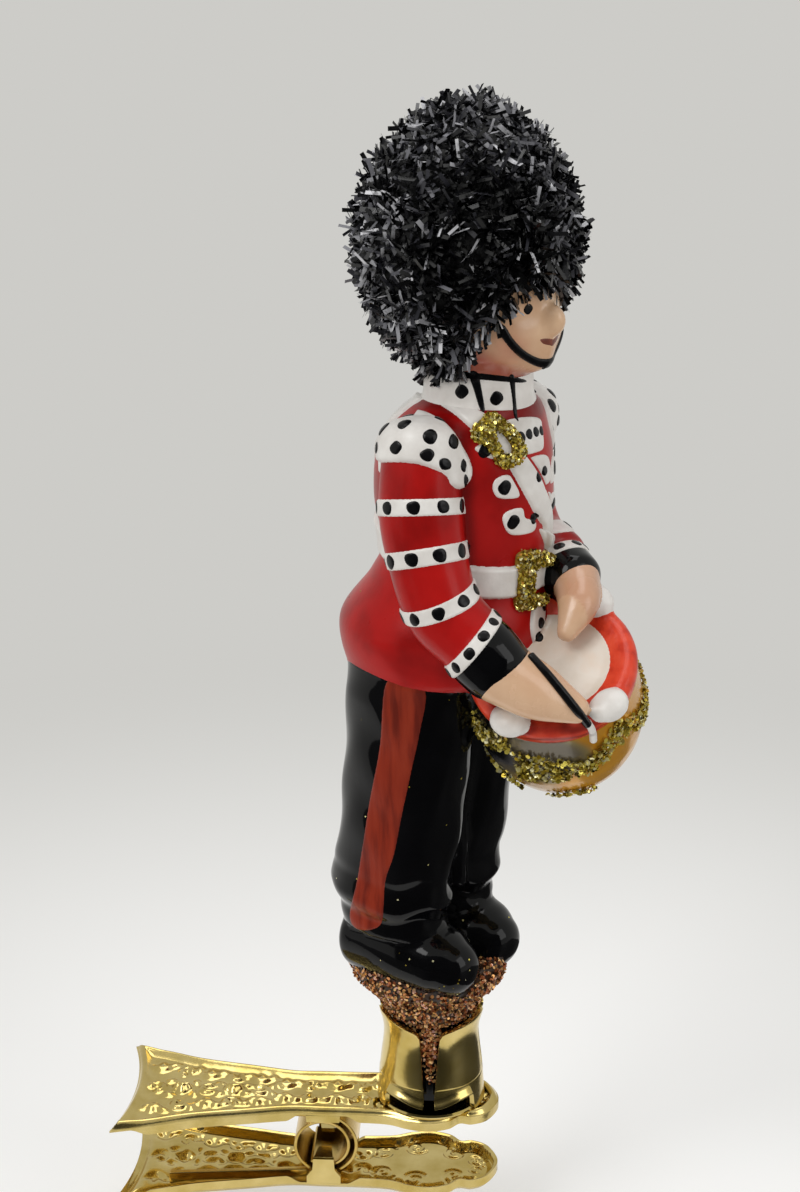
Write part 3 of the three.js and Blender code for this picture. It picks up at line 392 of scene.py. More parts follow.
skins["coat"] = upright([
    trunk(HEM - 0.5, 0.45, 0.74 * SKIRT_RADIUS),
    trunk(HEM + 0.02 * SKIRT_HEIGHT, 0.45, 0.92 * SKIRT_RADIUS),
    trunk(HEM + 0.36 * SKIRT_HEIGHT, 0.5, SKIRT_RADIUS),
    trunk(HEM + 0.76 * SKIRT_HEIGHT, 0.8, 1.08 * WAIST_RADIUS),
    trunk(WAIST, 1, WAIST_RADIUS),
    trunk(WAIST + 0.4 * CHEST_HEIGHT, 0.96, CHEST_RADIUS),
    trunk(WAIST + 0.74 * CHEST_HEIGHT, 0.98, 0.95 * CHEST_RADIUS, 1.04 * CHEST_RADIUS),
    trunk(SHOULDER, 1.15, 0.76 * CHEST_RADIUS, 0.98 * CHEST_RADIUS),
    trunk(SHOULDER + 0.34 * NECK_HEIGHT, 1.36, 1.4 * NECK_RADIUS, 1.6 * NECK_RADIUS),
    trunk(SHOULDER + 0.5 * NECK_HEIGHT, 1.4, NECK_RADIUS, 1.05 * NECK_RADIUS),
])
for word, side in (("right", -1), ("left", 1)):
    def at(z, ahead, deep, half, spread=1):
        return z, ahead, deep * LEG_DEPTH, half * LEG_HALF, side * spread * LEG_SPREAD

    def step(ahead, rise, wide, tall, spread):
        place = np.array([ahead * BOOT_LENGTH, side * spread * LEG_SPREAD, BOOT_FOOT + rise * BOOT_HEIGHT])
        return place, wide * BOOT_HALF, tall * BOOT_HEIGHT

    skins[word + "_leg"] = upright([
        at(LEG_FOOT - 0.16 * BOOT_HEIGHT, -1.7, 0.86, 0.9, 0.94),
        at(LEG_FOOT + 0.14 * TROUSER_LENGTH, -2, 1.02, 0.98),
        at(LEG_FOOT + 0.34 * TROUSER_LENGTH, -1, 1, 1),
        at(LEG_FOOT + 0.58 * TROUSER_LENGTH, -0.2, 1.02, 1.02),
        at(LEG_FOOT + 0.8 * TROUSER_LENGTH, 0.4, 1.07, 1.08),
        at(HEM + 0.08 * SKIRT_HEIGHT, 1.2, 1.12, 1.12),
    ])
    skins[word + "_boot"] = limb([
        step(-0.36, 0.52, 0.92, 0.5, 0.92),
        step(-0.04, 0.52, 1.05, 0.52, 0.9),
        step(0.26, 0.44, 0.95, 0.44, 0.86),
        step(0.4, 0.36, 0.62, 0.3, 0.82),
    ], (0, 0, 1))
    skins[word + "_toe"] = globe(step(0.33, 0.4, 0, 0, 0.86)[0], (2.7, 3.1, 2.9))
skins["leg_seam"] = limb([
    (np.array([x, 0.3, LEG_FOOT + share * TROUSER_LENGTH]), 0.75, 0.75)
    for share, x in ((0.1, 3), (0.3, 3.3), (0.55, 3.9), (0.78, 5))], (1, 0, 0), 24)
skins["glitter_base"] = upright([
    (BASE_FOOT, 0, 1.1 * PIKE_RADIUS, 1.1 * PIKE_RADIUS),
    (BASE_FOOT + 0.45 * BASE_HEIGHT, -0.2, 1.28 * PIKE_RADIUS, 1.3 * PIKE_RADIUS),
    (BOOT_FOOT, -0.5, 0.52 * BOOT_LENGTH, LEG_SPREAD + 0.78 * BOOT_HALF),
    (BOOT_FOOT + 0.3 * BOOT_HEIGHT, -0.5, 0.53 * BOOT_LENGTH, LEG_SPREAD + 0.8 * BOOT_HALF),
])
NECK_AHEAD = 1.4 * LEAN


def face_at(share, ahead, deep, half):
    return CHIN + share * FACE_HEIGHT, ahead, deep * FACE_DEPTH, half * FACE_HALF


skins["head"] = upright([
    (SHOULDER + 0.56 * NECK_HEIGHT, NECK_AHEAD, NECK_RADIUS, NECK_RADIUS),
    (CHIN - 0.1 * FACE_HEIGHT, NECK_AHEAD, 1.05 * NECK_RADIUS, 1.02 * NECK_RADIUS),
    face_at(0.06, FACE_LEAN, 0.74, 0.66),
    face_at(0.24, FACE_LEAN, 0.93, 0.86),
    face_at(0.6, FACE_LEAN, 1, 1),
    face_at(1, 0.95 * FACE_LEAN, 0.96, 1),
    face_at(1.5, 0.85 * FACE_LEAN, 0.75, 0.78),
    face_at(1.74, 0.8 * FACE_LEAN, 0.3, 0.3),
])
skins["nose"] = globe((FACE_LEAN + FACE_DEPTH, 0, CHIN + 0.66 * FACE_HEIGHT), (1.35, 1.1, 1.5))
CAP_FOOT = CHIN - 0.08 * FACE_HEIGHT


def cut_below(skin, point, normal):
    """Closed skin kept on the side the normal points to."""
    work = bmesh.new()
    for p in skin[0]:
        work.verts.new(p)
    work.verts.ensure_lookup_table()
    for f in skin[1]:
        work.faces.new([work.verts[i] for i in f])
    bmesh.ops.bisect_plane(work, geom=work.verts[:] + work.edges[:] + work.faces[:], plane_co=point,
                           plane_no=normal, clear_inner=True)
    bmesh.ops.holes_fill(work, edges=[e for e in work.edges if e.is_boundary])
    work.verts.index_update()
    made = np.array([v.co[:] for v in work.verts]), [[v.index for v in f.verts] for f in work.faces]
    work.free()
    return made


cap = globe((0, 0, 0), (1, 1, 1))
cap[0][:, :2] *= 1 - BEARSKIN_TAPER * np.maximum(cap[0][:, 2:], 0) ** 2
cap_size = np.array([BEARSKIN_RADIUS, BEARSKIN_RADIUS, (CROWN - CAP_FOOT) / 2])
cap = moved(cap, np.diag(cap_size), (1.02 * LEAN, 0, (CAP_FOOT + CROWN) / 2))
skins["bearskin"] = cut_below(cap, (NECK_AHEAD, 0, CHIN), turn("Y", -53) @ (0, 0, 1))
COLLAR_OUT = NECK_RADIUS + FIT_GAP + COLLAR_THICK
COLLAR_FOOT = SHOULDER + 0.2 * NECK_HEIGHT
skins["collar"] = upright([
    (COLLAR_FOOT + up * COLLAR_HEIGHT, NECK_AHEAD, size * COLLAR_OUT, size * COLLAR_OUT)
    for up, size in ((0, 1.06), (0.5, 1), (1, 0.98))])

DRUM_TURN = turn("X", DRUM_TILT_SIDE) @ turn("Y", DRUM_TILT_FRONT)
DRUM_AT = np.array([LEAN + DRUM_AHEAD, -DRUM_ASIDE, HEM + DRUM_RISE])
DRUM_UP = DRUM_TURN @ (0, 0, 1)
SHELL_RADIUS = DRUM_RADIUS - 0.2
HEAD_RADIUS = DRUM_RADIUS - HOOP_BREADTH
EARS = {"far": 84, "front": -18, "near": -93}


def drum_part(profile):
    return moved(turned(profile), DRUM_TURN, DRUM_AT)


skins["drum_shell"] = drum_part([
    (0.01, -DRUM_DEPTH), (0.8 * SHELL_RADIUS, -DRUM_DEPTH), (0.88 * SHELL_RADIUS, -0.97 * DRUM_DEPTH),
    (0.97 * SHELL_RADIUS, -0.84 * DRUM_DEPTH), (SHELL_RADIUS + 0.7 * SHELL_BULGE, -0.7 * DRUM_DEPTH),
    (SHELL_RADIUS + SHELL_BULGE, -0.55 * DRUM_DEPTH),
    (SHELL_RADIUS + 0.7 * SHELL_BULGE, -0.38 * DRUM_DEPTH), (SHELL_RADIUS, -HOOP_WIDTH),
    (0.01, -HOOP_WIDTH),
])
skins["drum_head"] = drum_part([
    (0.01, -HOOP_WIDTH), (HEAD_RADIUS + 0.2, -HOOP_WIDTH), (HEAD_RADIUS + 0.2, -HEAD_SINK),
    (0.01, -HEAD_SINK),
])
skins["drum_hoop"] = drum_part([
    (HEAD_RADIUS, -HOOP_WIDTH - 0.2), (DRUM_RADIUS - 0.3, -HOOP_WIDTH - 0.2),
    (DRUM_RADIUS, -0.7 * HOOP_WIDTH), (DRUM_RADIUS, -0.3 * HOOP_WIDTH),
    (DRUM_RADIUS - 0.2 * HOOP_BREADTH, -0.06 * HOOP_WIDTH), (DRUM_RADIUS - 0.5 * HOOP_BREADTH, 0),
    (HEAD_RADIUS + FIT_GAP, -0.2 * HOOP_WIDTH), (HEAD_RADIUS, -HEAD_SINK), (HEAD_RADIUS, -HOOP_WIDTH - 0.2),
])
for word, angle in EARS.items():
    lump = globe((DRUM_RADIUS - 0.15 * HOOP_BREADTH, 0, 0), (EAR_SIZE, 1.15 * EAR_SIZE, 0.7 * EAR_SIZE))
    skins["drum_ear_" + word] = moved(lump, DRUM_TURN @ turn("Z", angle), DRUM_AT)


def on_head(x, y, z):
    """Place over the drum's head, in its radii, and a height above it."""
    return DRUM_TURN @ (x * DRUM_RADIUS, y * DRUM_RADIUS, z) + DRUM_AT


def on_drum(points):
    """Places in the drum's own frame, and their angles round it."""
    q = (points - DRUM_AT) @ DRUM_TURN
    return q, np.degrees(np.arctan2(q[:, 1], q[:, 0]))


def joint(ahead, aside, z):
    """Place on an arm, in shares of the lean and of the chest's radius."""
    return np.array([ahead * LEAN, aside * CHEST_RADIUS, z])


arms = {
    "right": dict(
        upper=joint(1.42, -1.09, WAIST + 0.45 * CHEST_HEIGHT),
        lower=joint(1.72, -1.14, WAIST + 0.13 * CHEST_HEIGHT),
        elbow=joint(2.3, -1.18, HEM + 0.76 * SKIRT_HEIGHT), wrist=on_head(-0.24, -0.69, 1.42 * HAND_HALF),
        palm=on_head(0.2, -0.66, 0.95 * HAND_HALF), tips=on_head(0.72, -0.58, 0.36 * HAND_HALF),
        hand=HAND_HALF, broad=0.92, cuff=CUFF_RADIUS),
    "left": dict(
        upper=joint(0.86, 1.07, WAIST + 0.45 * CHEST_HEIGHT),
        lower=joint(0.96, 1.08, WAIST + 0.16 * CHEST_HEIGHT),
        elbow=joint(1.5, 1.02, HEM + 0.9 * SKIRT_HEIGHT), wrist=on_head(-0.2, 1.06, 0.3 * HAND_HALF),
        palm=on_head(0.03, 0.68, 0.6 * HAND_HALF), tips=on_head(0.08, 0.24, 0.45 * HAND_HALF),
        hand=0.78 * HAND_HALF, broad=0.84, cuff=0.82 * CUFF_RADIUS),
}
for (word, arm), side in zip(arms.items(), (-1, 1)):
    arm["shoulder"] = joint(1.15, side * 0.9, SHOULDER - 0.06 * CHEST_HEIGHT)
    back = min(0.8, CUFF_LENGTH / np.linalg.norm(arm["wrist"] - arm["elbow"]))
    along = lambda t: arm["wrist"] + t * (arm["elbow"] - arm["wrist"])
    r, c, h = ARM_RADIUS, arm["cuff"], arm["hand"]
    skins[word + "_sleeve"] = limb([
        (arm["shoulder"], 0.95 * r, 0.95 * r), (arm["upper"], r, r), (arm["lower"], 0.95 * r, 0.95 * r),
        (arm["elbow"], 0.92 * r, 0.92 * r), (along(0.9 * back), 0.86 * r, 0.86 * r)], (0, 1, 0))
    skins[word + "_cuff"] = limb([
        (along(t * back), size * c, size * c) for t, size in ((1, 0.9), (0.5, 1), (0, 0.94))], (0, 1, 0))
    skins[word + "_hand"] = limb([
        (arm["wrist"], (0.5 + 0.54 * arm["broad"]) * h, 0.9 * h), (arm["palm"], arm["broad"] * h, 0.72 * h),
        (arm["tips"], 0.45 * arm["broad"] * h, 0.3 * h)], DRUM_UP)


EASINGS, FIRST_EASINGS = 14, 6


def blown():
    """One skin over all of them, remeshed and eased as blown glass is."""
    points, faces, base = [], [], 0
    for verts, polygons in skins.values():
        points.append(verts)
        faces += [[i + base for i in f] for f in polygons]
        base += len(verts)
    mesh = mesh_of("blown", np.concatenate(points).tolist(), faces)
    obj = add("blown", mesh)
    remesh = obj.modifiers.new("remesh", "REMESH")
    remesh.mode, remesh.voxel_size = "VOXEL", VOXEL
    even = obj.evaluated_get(bpy.context.evaluated_depsgraph_get()).to_mesh()
    even.calc_loop_triangles()

    def read(items, key, wide, kind):
        flat = np.empty(len(items) * wide, kind)
        items.foreach_get(key, flat)
        return flat.reshape(-1, wide)

    P = read(even.vertices, "co", 3, np.float32).astype(float)
    F = read(even.loop_triangles, "vertices", 3, np.int32)
    a, b = read(even.edges, "vertices", 2, np.int32).T
    bpy.data.objects.remove(obj)
    bpy.data.meshes.remove(mesh)
    count = np.bincount(a, minlength=len(P)) + np.bincount(b, minlength=len(P))
    for step in range(EASINGS):
        pulls = [np.bincount(a, P[b, k], len(P)) + np.bincount(b, P[a, k], len(P)) for k in range(3)]
        share = 0.5 if step % 2 == 0 or step < FIRST_EASINGS else -0.5
        P = P + share * (np.stack(pulls, 1) / count[:, None] - P)
    return P, F


def normals(P, F):
    """Normals at the corners of triangles."""
    n = crosses(P, F)
    out = np.stack([sum(np.bincount(F[:, j], n[:, k], len(P)) for j in range(3)) for k in range(3)], 1)
    return unit(out + 1e-12)


def reach(skin, points, limit=1.6):
    """Distance of each point to a skin, up to a limit in millimetres."""
    tree = BVHTree.FromPolygons(skin[0].tolist(), skin[1])
    near = ((points > skin[0].min(0) - limit) & (points < skin[0].max(0) + limit)).all(1)
    out = np.full(len(points), limit)
    for i in np.flatnonzero(near):
        gap = tree.find_nearest(Vector(points[i]), limit)[3]
        if gap is not None:
            out[i] = gap
    return out


P, F = blown()
N = normals(P, F)
# Modelling of the face: brow hollows, cheeks, lips and chin, each a place, a push outwards and a width.
FACE_FORMS = ((12.2, 2.6, 86.4, -0.32, 1.3), (10.6, 3.9, 83.6, 0.3, 1.7),
              (12.9, 0, 82.9, 0.28, 1.2), (12.2, 0, 81.2, 0.5, 1.3))
for x, y, z, push, wide in FACE_FORMS:
    for mirrored in ((1, -1) if y else (1,)):
        fall = np.exp(-((P - (x, mirrored * y, z)) ** 2).sum(1) / wide**2)
        P = P + N * (push * fall)[:, None]
# Soft folds where the trousers gather over the boots, each a height and a push outwards.
FOLDS, FOLD_WIDTH = ((24.3, -0.35), (26.2, 0.22), (28.4, -0.12)), 0.8
for z, push in FOLDS:
    ripple = 0.35 * np.sin(0.55 * P[:, 0] + P[:, 1])
    fall = bell((P[:, 2] - z - ripple) / FOLD_WIDTH) * smooth(-P[:, 0], -9, -4)
    P = P + N * (push * fall)[:, None]
# Gentle unevenness of the glass down the legs.
wave = np.sin(0.85 * P[:, 2] + 1.3 * np.sin(0.5 * P[:, 0]) + 0.8 * P[:, 1])
wave = wave + np.sin(1.1 * P[:, 1] - 0.5 * P[:, 2] + 0.6 * P[:, 0])
legs = smooth(P[:, 2], LEG_FOOT, LEG_FOOT + 3) * (1 - smooth(P[:, 2], HEM - 2.5, HEM))
legs = legs * (1 - smooth(P[:, 0], 6.8, 8.2))
WAVINESS = 0.09
P = P + N * (WAVINESS * wave * legs)[:, None]
N = normals(P, F)
D = {key: reach(skin, P) for key, skin in skins.items()}
for key, part in (("head", "nose"), ("right_boot", "right_toe"), ("left_boot", "left_toe"),
                  ("left_leg", "leg_seam")):
    D[key] = np.minimum(D[key], D.pop(part))
shell = {"P": P, "N": N, "F": F, "D": D}
SHELL_TREE = BVHTree.FromPolygons(P.tolist(), F.tolist())


def pick(sub, keep):
    """The faces with a kept corner."""
    F = sub["F"][keep[sub["F"]].any(1)]
    used, back = np.unique(F, return_inverse=True)
    made = {"P": sub["P"][used], "N": sub["N"][used], "F": back.reshape(F.shape)}
    made["D"] = {k: d[used] for k, d in sub["D"].items()}
    return made


def split(sub):
    """Each face in four, on the curve that its normals call for."""
    P, N, F = sub["P"], sub["N"], sub["F"]
    pairs = np.sort(np.concatenate([F[:, [0, 1]], F[:, [1, 2]], F[:, [2, 0]]]), 1)
    keys, back = np.unique(pairs[:, 0].astype(np.int64) * len(P) + pairs[:, 1], return_inverse=True)
    a, b = keys // len(P), keys % len(P)
    mid = (P[a] + P[b]) / 2
    onto = sum(mid - ((mid - P[k]) * N[k]).sum(1, keepdims=True) * N[k] for k in (a, b)) / 2
    m, n, o = len(P) + back.reshape(3, -1)
    made = {"P": np.concatenate([P, 0.3 * mid + 0.7 * onto]), "N": np.concatenate([N, unit(N[a] + N[b])])}
    made["F"] = np.concatenate([np.stack(f, 1) for f in (
        (F[:, 0], m, o), (F[:, 1], n, m), (F[:, 2], o, n), (m, n, o))])
    made["D"] = {k: np.concatenate([d, (d[a] + d[b]) / 2]) for k, d in sub["D"].items()}
    return made


# Signed distances over the glass, in millimetres, negative inside.
def zone(*names):
    """Where the glass is nearer to the named skins than to others."""
    def sdf(sub):
        inside = np.min([sub["D"][n] for n in names], 0)
        others = np.min([d for n, d in sub["D"].items() if n not in names], 0)
        return inside - others
    return sdf


def both(*parts):
    return lambda sub: np.max([p(sub) for p in parts], 0)


def either(*parts):
    return lambda sub: np.min([p(sub) for p in parts], 0)


def outside(part):
    return lambda sub: -part(sub)


def slab(point, normal, width):
    return lambda sub: np.abs((sub["P"] - point) @ np.asarray(normal)) - width / 2


def half(point, normal):
    """The side that the normal points away from."""
    return lambda sub: (sub["P"] - point) @ np.asarray(normal)


def balls(centres, radii):
    """Round dots, each a little uneven."""
    def sdf(sub):
        out = np.full(len(sub["P"]), 9.0)
        for c, r in zip(centres, radii):
            d = sub["P"] - c
            swell = 0.07 * r * np.sin(2.2 * (d @ (0.9, 0.7, 1.3)) / r + 31 * c[2])
            out = np.minimum(out, np.linalg.norm(d, axis=1) - r - swell)
        return out
    return sdf


def looped(points, steps=7):
    """Closed smooth line through given points."""
    p = np.asarray(points, float)
    t = np.linspace(0, 1, steps, endpoint=False)[:, None]
    a, b, c, d = np.roll(p, 1, 0), p, np.roll(p, -1, 0), np.roll(p, -2, 0)
    m, n = (c - a) / 2, (d - b) / 2
    return np.concatenate([hermite(b[i], c[i], m[i], n[i], t) for i in range(len(p))])


def outline(points, mirrored=False, behind=None):
    """Painted patch by its outline in the picture, where it faces the camera, or its reflection."""
    margin = 12
    ring = looped(points)
    low, high = ring.min(0) - margin, ring.max(0) + margin
    a, b = ring, np.roll(ring, -1, 0)

    def sdf(sub):
        p, n = sub["P"].copy(), sub["N"].copy()
        if mirrored:
            p[:, 1], n[:, 1] = -p[:, 1], -n[:, 1]
        if behind is not None:
            p[:, 0], n[:, 0] = 2 * behind - p[:, 0], -n[:, 0]
        uv, depth = pixels(p)
        facing = (n @ FIGURE_TURN.T * (EYE - stand(p))).sum(1)
        near = np.flatnonzero((uv > low).all(1) & (uv < high).all(1) & (facing > 0))
        out = np.full(len(p), 1.0)
        q = uv[near][:, None]
        along = np.clip(((q - a) * (b - a)).sum(2) / ((b - a) ** 2).sum(1), 0, 1)
        gap = np.linalg.norm(q - a - along[..., None] * (b - a), axis=2).min(1)
        cross = (a[:, 1] > q[..., 1]) != (b[:, 1] > q[..., 1])
        rise = np.where(b[:, 1] == a[:, 1], 1e-9, b[:, 1] - a[:, 1])
        hits = cross & (q[..., 0] < a[:, 0] + (q[..., 1] - a[:, 1]) / rise * (b[:, 0] - a[:, 0]))
        out[near] = np.where(hits.sum(1) % 2, -gap, gap) * depth[near] / FOCAL
        return out
    return sdf


def patches(shapes):
    return either(*[outline(shape) for shape in shapes])


# Corners, in the picture, of the parts of it that were enlarged to read outlines off them.
CHEST_CROP, HEAD_CROP, LEGS_CROP, ENLARGED = (340, 380), (340, 60), (360, 560), 3


def crop(points, corner=CHEST_CROP):
    """Picture pixels of points read off an enlarged part of it."""
    return [(corner[0] + u / ENLARGED, corner[1] + v / ENLARGED) for u, v in points]


def spot(pixel):
    """Point of the glass under a pixel."""
    ray = AHEAD + RIGHT * (pixel[0] - WIDE / 2) / FOCAL + DOWN * (pixel[1] - HIGH / 2) / FOCAL
    hit = SHELL_TREE.ray_cast(Vector(unstand(EYE)), Vector(ray @ FIGURE_TURN))[0]
    return P[np.argmin(((pixels(P)[0] - pixel) ** 2).sum(1))] if hit is None else np.array(hit)


def spots(points, corner=CHEST_CROP):
    return [spot(p) for p in crop(points, corner)]


def facing_spot(origin, direction):
    """Point of the glass met from outside along a line towards an inner point."""
    direction = unit(np.asarray(direction, float))
    start = np.asarray(origin) + 30 * direction
    return np.array(SHELL_TREE.ray_cast(Vector(start), Vector(-direction))[0])


def nearest(point):
    return np.array(SHELL_TREE.find_nearest(Vector(point))[0])


def corners(point):
    """Corners of the glass's face nearest a point."""
    return F[SHELL_TREE.find_nearest(Vector(point))[2]]


def lies_on(point, *names):
    """Whether the glass at a point belongs to one of the named skins."""
    own = corners(point)[0]
    return min(D[n][own] for n in names) <= min(d[own] for d in D.values())


layers = []


SINK_SLOPE, SINK = 0.8, 0.14
COARSE_MARGIN, FINE_MARGIN = 0.5, 0.25
DOT_EDGE = 0.4
# Heights of paint over the glass and the widths of its rounded edges.
SKIN_COAT, BELT_COAT, STRAP_COAT, WING_COAT = (0, 0.3), (0.5, 0.35), (0.4, 0.35), (0.55, 0.5)
LACE_COAT, STRIP_COAT, LINE_COAT, CHIN_COAT = (0.16, 0.2), (0.3, 0.3), (0.1, 0.2), (0.22, 0.3)
MOUTH_COAT, STRIPE_COAT, BUCKLE_COAT = (0.06, 0.2), (0.14, 0.25), (0.75, 0.55)


def lift(s, height, edge):
    """Height of a coat of paint over the glass: rounded at its edge and sinking under beyond it."""
    x = np.clip(-s / edge, 0, 1)
    return np.where(s < 0, height * np.sqrt(1 - (1 - x) ** 2), -np.minimum(SINK_SLOPE * s, SINK))


def film(name, sdf, height, edge, material, finer=1, replaces=(), layer=False, values=None):
    """Coat of paint, or raised strap, over the part of the glass where the distance is negative."""
    sub = pick(shell, sdf(shell) < COARSE_MARGIN)
    for _ in range(finer):
        sub = split(sub)
        sub = pick(sub, sdf(sub) < FINE_MARGIN)
    s = sdf(sub)
    under = sum(np.maximum(lift(d(sub), h, e), 0) for d, h, e in layers) if layers else 0
    top = sub["P"] + sub["N"] * (under + lift(s, height, edge))[:, None]
    if layer:
        layers.append((sdf, height, edge))
    given = values(sub) if values else None
    make(name, stand(top), sub["F"], material, replaces, values=given)
    return {"P": top, "N": sub["N"], "F": sub["F"], "s": s}


def dots(name, centres, radii, height=0.12):
    film(name, balls(centres, radii), height, DOT_EDGE, DOT, finer=2)


def flip(point):
    """The same place on the figure's other side."""
    return nearest(np.asarray(point) * (1, -1, 1))


SIDES = (("right", False), ("left", True))
# The cuffs start at a line drawn across the forearm.
CUFF_LINE, CUFF_REACH = crop([(292, 890), (385, 826), (464, 720)]), 7


def across(line, mirrored, end):
    """Plane through three places seen on the right arm, or the matching one on the left arm."""
    a, b, c = [spot(p) for p in line]
    middle, normal = (a + b + c) / 3, unit(np.cross(b - a, c - a))
    if mirrored:
        shift = arms["left"][end] - arms["right"][end] * (1, -1, 1)
        middle, normal = middle * (1, -1, 1) + 0.8 * shift, normal * (1, -1, 1)
    return middle, normal


for word, mirrored in SIDES:
    middle, normal = across(CUFF_LINE, mirrored, "wrist")
    if (arms[word]["wrist"] - middle) @ normal < 0:
        normal = -normal
    sleeve, cuff = D[word + "_sleeve"], D[word + "_cuff"]
    here = np.linalg.norm(P - middle, axis=1) < CUFF_REACH
    past = (P - middle) @ normal
    D[word + "_sleeve"] = np.where(here, np.minimum(sleeve, cuff) + np.maximum(past, 0), sleeve)
    D[word + "_cuff"] = np.where(here, np.minimum(sleeve, cuff) + np.maximum(-past, 0), cuff)


# Zones of paint over the whole figure.
def blush(sub):
    """Painted shade under the jaw and on the far left hand, a little of it over the right hand, and blush
    on the cheeks.
    """
    p = sub["P"]
    under = smooth(CHIN + 0.9 - p[:, 2] - (p[:, 0] - FACE_LEAN - 6.1), 0.1, 3.4) * 0.85
    cheeks = sum(0.5 * np.exp(-((p - (11, y, 83.4)) ** 2).sum(1) / 4) for y in (-4, 4))
    hands = np.where(p[:, 1] > 0, 0.3, 0.1)
    return {"blush": np.where(p[:, 2] > SHOULDER, np.clip(under + cheeks, 0, 0.9), hands)}


def painted_crease_shade(sub):
    """Painted shade: the red darker in the creases where the coat, the sleeves and the collar meet."""
    far = np.sort(np.stack([sub["D"][k] for k in ("coat", "right_sleeve", "left_sleeve", "collar")]), 0)
    return {"blush": 0.62 * (1 - smooth(far[1] - far[0], 0.1, 1.5))}


def drum_tone(sub):
    """Dark and silver at the near side running into gold at the front, and dark again at the back.

    Angles are in degrees round the drum, from its front.
    """
    q, angle = on_drum(sub["P"])
    streak = 5 * np.sin(5 * np.radians(angle) + 0.8 * q[:, 2]) + 9 * np.sin(0.55 * q[:, 2] + 1)
    tone = 0.33 * smooth(angle + streak, -112, -98) + 0.6 * smooth(angle + streak, -66, -34)
    tone = tone + 0.3 * smooth(-q[:, 2], 8.4, 9.6) * smooth(angle, -108, -92)
    tone = tone - 0.5 * bell((angle + 0.5 * streak - 12) / 8) * smooth(-q[:, 2], 5, 8)
    tone = tone * (1 - smooth(angle, 110, 172))
    floor = smooth(-q[:, 2], DRUM_DEPTH - 0.6, DRUM_DEPTH - 0.1)
    return {"tone": np.clip(tone * (1 - floor) + 0.5 * floor, 0, 1)}


def dark_hoop_streaks(sub):
    """Darker streaks along the hoop between the near and the front ear."""
    q, angle = on_drum(sub["P"])
    radius = np.hypot(q[:, 0], q[:, 1])
    streak = 0.62 + 0.38 * np.sin(6.5 * (q[:, 2] + 0.7 * radius) + 1.6 * np.sin(0.12 * angle))
    return {"blush": 0.8 * streak * smooth(-angle, 16, 36) * (1 - smooth(-angle, 96, 120))}


def peach(sub):
    """Flesh tint run on to the drum skin round the hands."""
    hands = np.minimum(sub["D"]["right_hand"], sub["D"]["left_hand"])
    return {"blush": 0.75 * (1 - smooth(hands, 0.2, 1.6))}


SHADES = {RED: painted_crease_shade, SKIN: blush, SHELL: drum_tone, PEARL: peach, HOOP: dark_hoop_streaks}
made = {}
for material, keys in (
        (RED, "coat right_sleeve left_sleeve"), (BLACK, "right_leg left_leg right_boot left_boot"),
        (GLUE, "glitter_base"), (WHITE, "collar"), (FUR, "bearskin"), (BLACK, "right_cuff left_cuff"),
        (SKIN, "right_hand left_hand head"), (SHELL, "drum_shell"), (PEARL, "drum_head"),
        (HOOP, "drum_hoop"), (WHITE, "drum_ear_far drum_ear_front drum_ear_near")):
    for key in keys.split():
        made[key] = film(key + "_skin", zone(key), *SKIN_COAT, material, finer=0, replaces=[key],
                         values=SHADES.get(material))

# Straps round the trunk.
belt_normal = turn("Y", BELT_DIP) @ (0, 0, 1)
belt = both(slab((LEAN, 0, WAIST), belt_normal, BELT_WIDTH + 0.4), zone("coat"))
film("waist_belt", belt, *BELT_COAT, WHITE, replaces=["waist_belt_front", "waist_belt_back"], layer=True)
strap_normal = turn("X", -CROSSBELT_SLANT) @ (0, 0, 1)
strap_at = (0, -0.28 * CHEST_RADIUS, WAIST + 0.74 * CHEST_HEIGHT)
above_belt = half((LEAN, 0, WAIST) + belt_normal * (BELT_WIDTH / 2 + 0.5), -belt_normal)
strap_front = outline(crop([
    (205, -6), (300, 14), (395, 80), (450, 115), (545, 215), (602, 300), (627, 395), (622, 432), (598, 424),
    (558, 352), (512, 270), (478, 222), (400, 152), (330, 92), (250, 58), (150, 84), (112, 108), (108, 60),
    (150, 16)]))
strap_back = both(slab(strap_at, strap_normal, CROSSBELT_WIDTH + 1), half((0.4 * LEAN, 0, 0), (1, 0, 0)),
                  half((0.4 * LEAN, -0.5 * CHEST_RADIUS, 0), unit(np.array((1.0, -1.2, 0.0)))))
a, b, c = spots([(425, 134), (528, 243), (612, 405)])
tail_normal = unit(np.cross(b - a, c - a))
tail_normal = tail_normal * np.sign(tail_normal[2])
strap_tail = both(slab(c + tail_normal * 0.35, tail_normal, CROSSBELT_WIDTH - 0.4),
                  half(c - (0, 0.2, 0), (0, -1, 0)), half((LEAN, 0, 0), (-1, 0, 0)))
strap = both(either(strap_front, strap_back, strap_tail), zone("coat"), above_belt)
film("crossbelt", strap, *STRAP_COAT, WHITE, replaces=["crossbelt_front", "crossbelt_back"], layer=True)

# Shoulder wings, sleeve lace and their dots.
WING = crop([(78, 236), (73, 190), (90, 138), (125, 108), (170, 94), (222, 91), (275, 105), (320, 140),
             (356, 185), (386, 235), (396, 275), (386, 306), (360, 326), (336, 316), (318, 286), (280, 266),
             (230, 251), (180, 246), (130, 246), (95, 246)])
WING_DOTS = crop([(205, 108), (135, 137), (198, 145), (297, 132), (268, 175), (330, 188), (90, 193),
                  (127, 205), (177, 205), (260, 226), (307, 253), (358, 256), (365, 300)])
WING_DOT, WING_DOT_GAP, SEEN_INSET, REAR_INSET = 0.56, 1.5, 0.1, 0.25
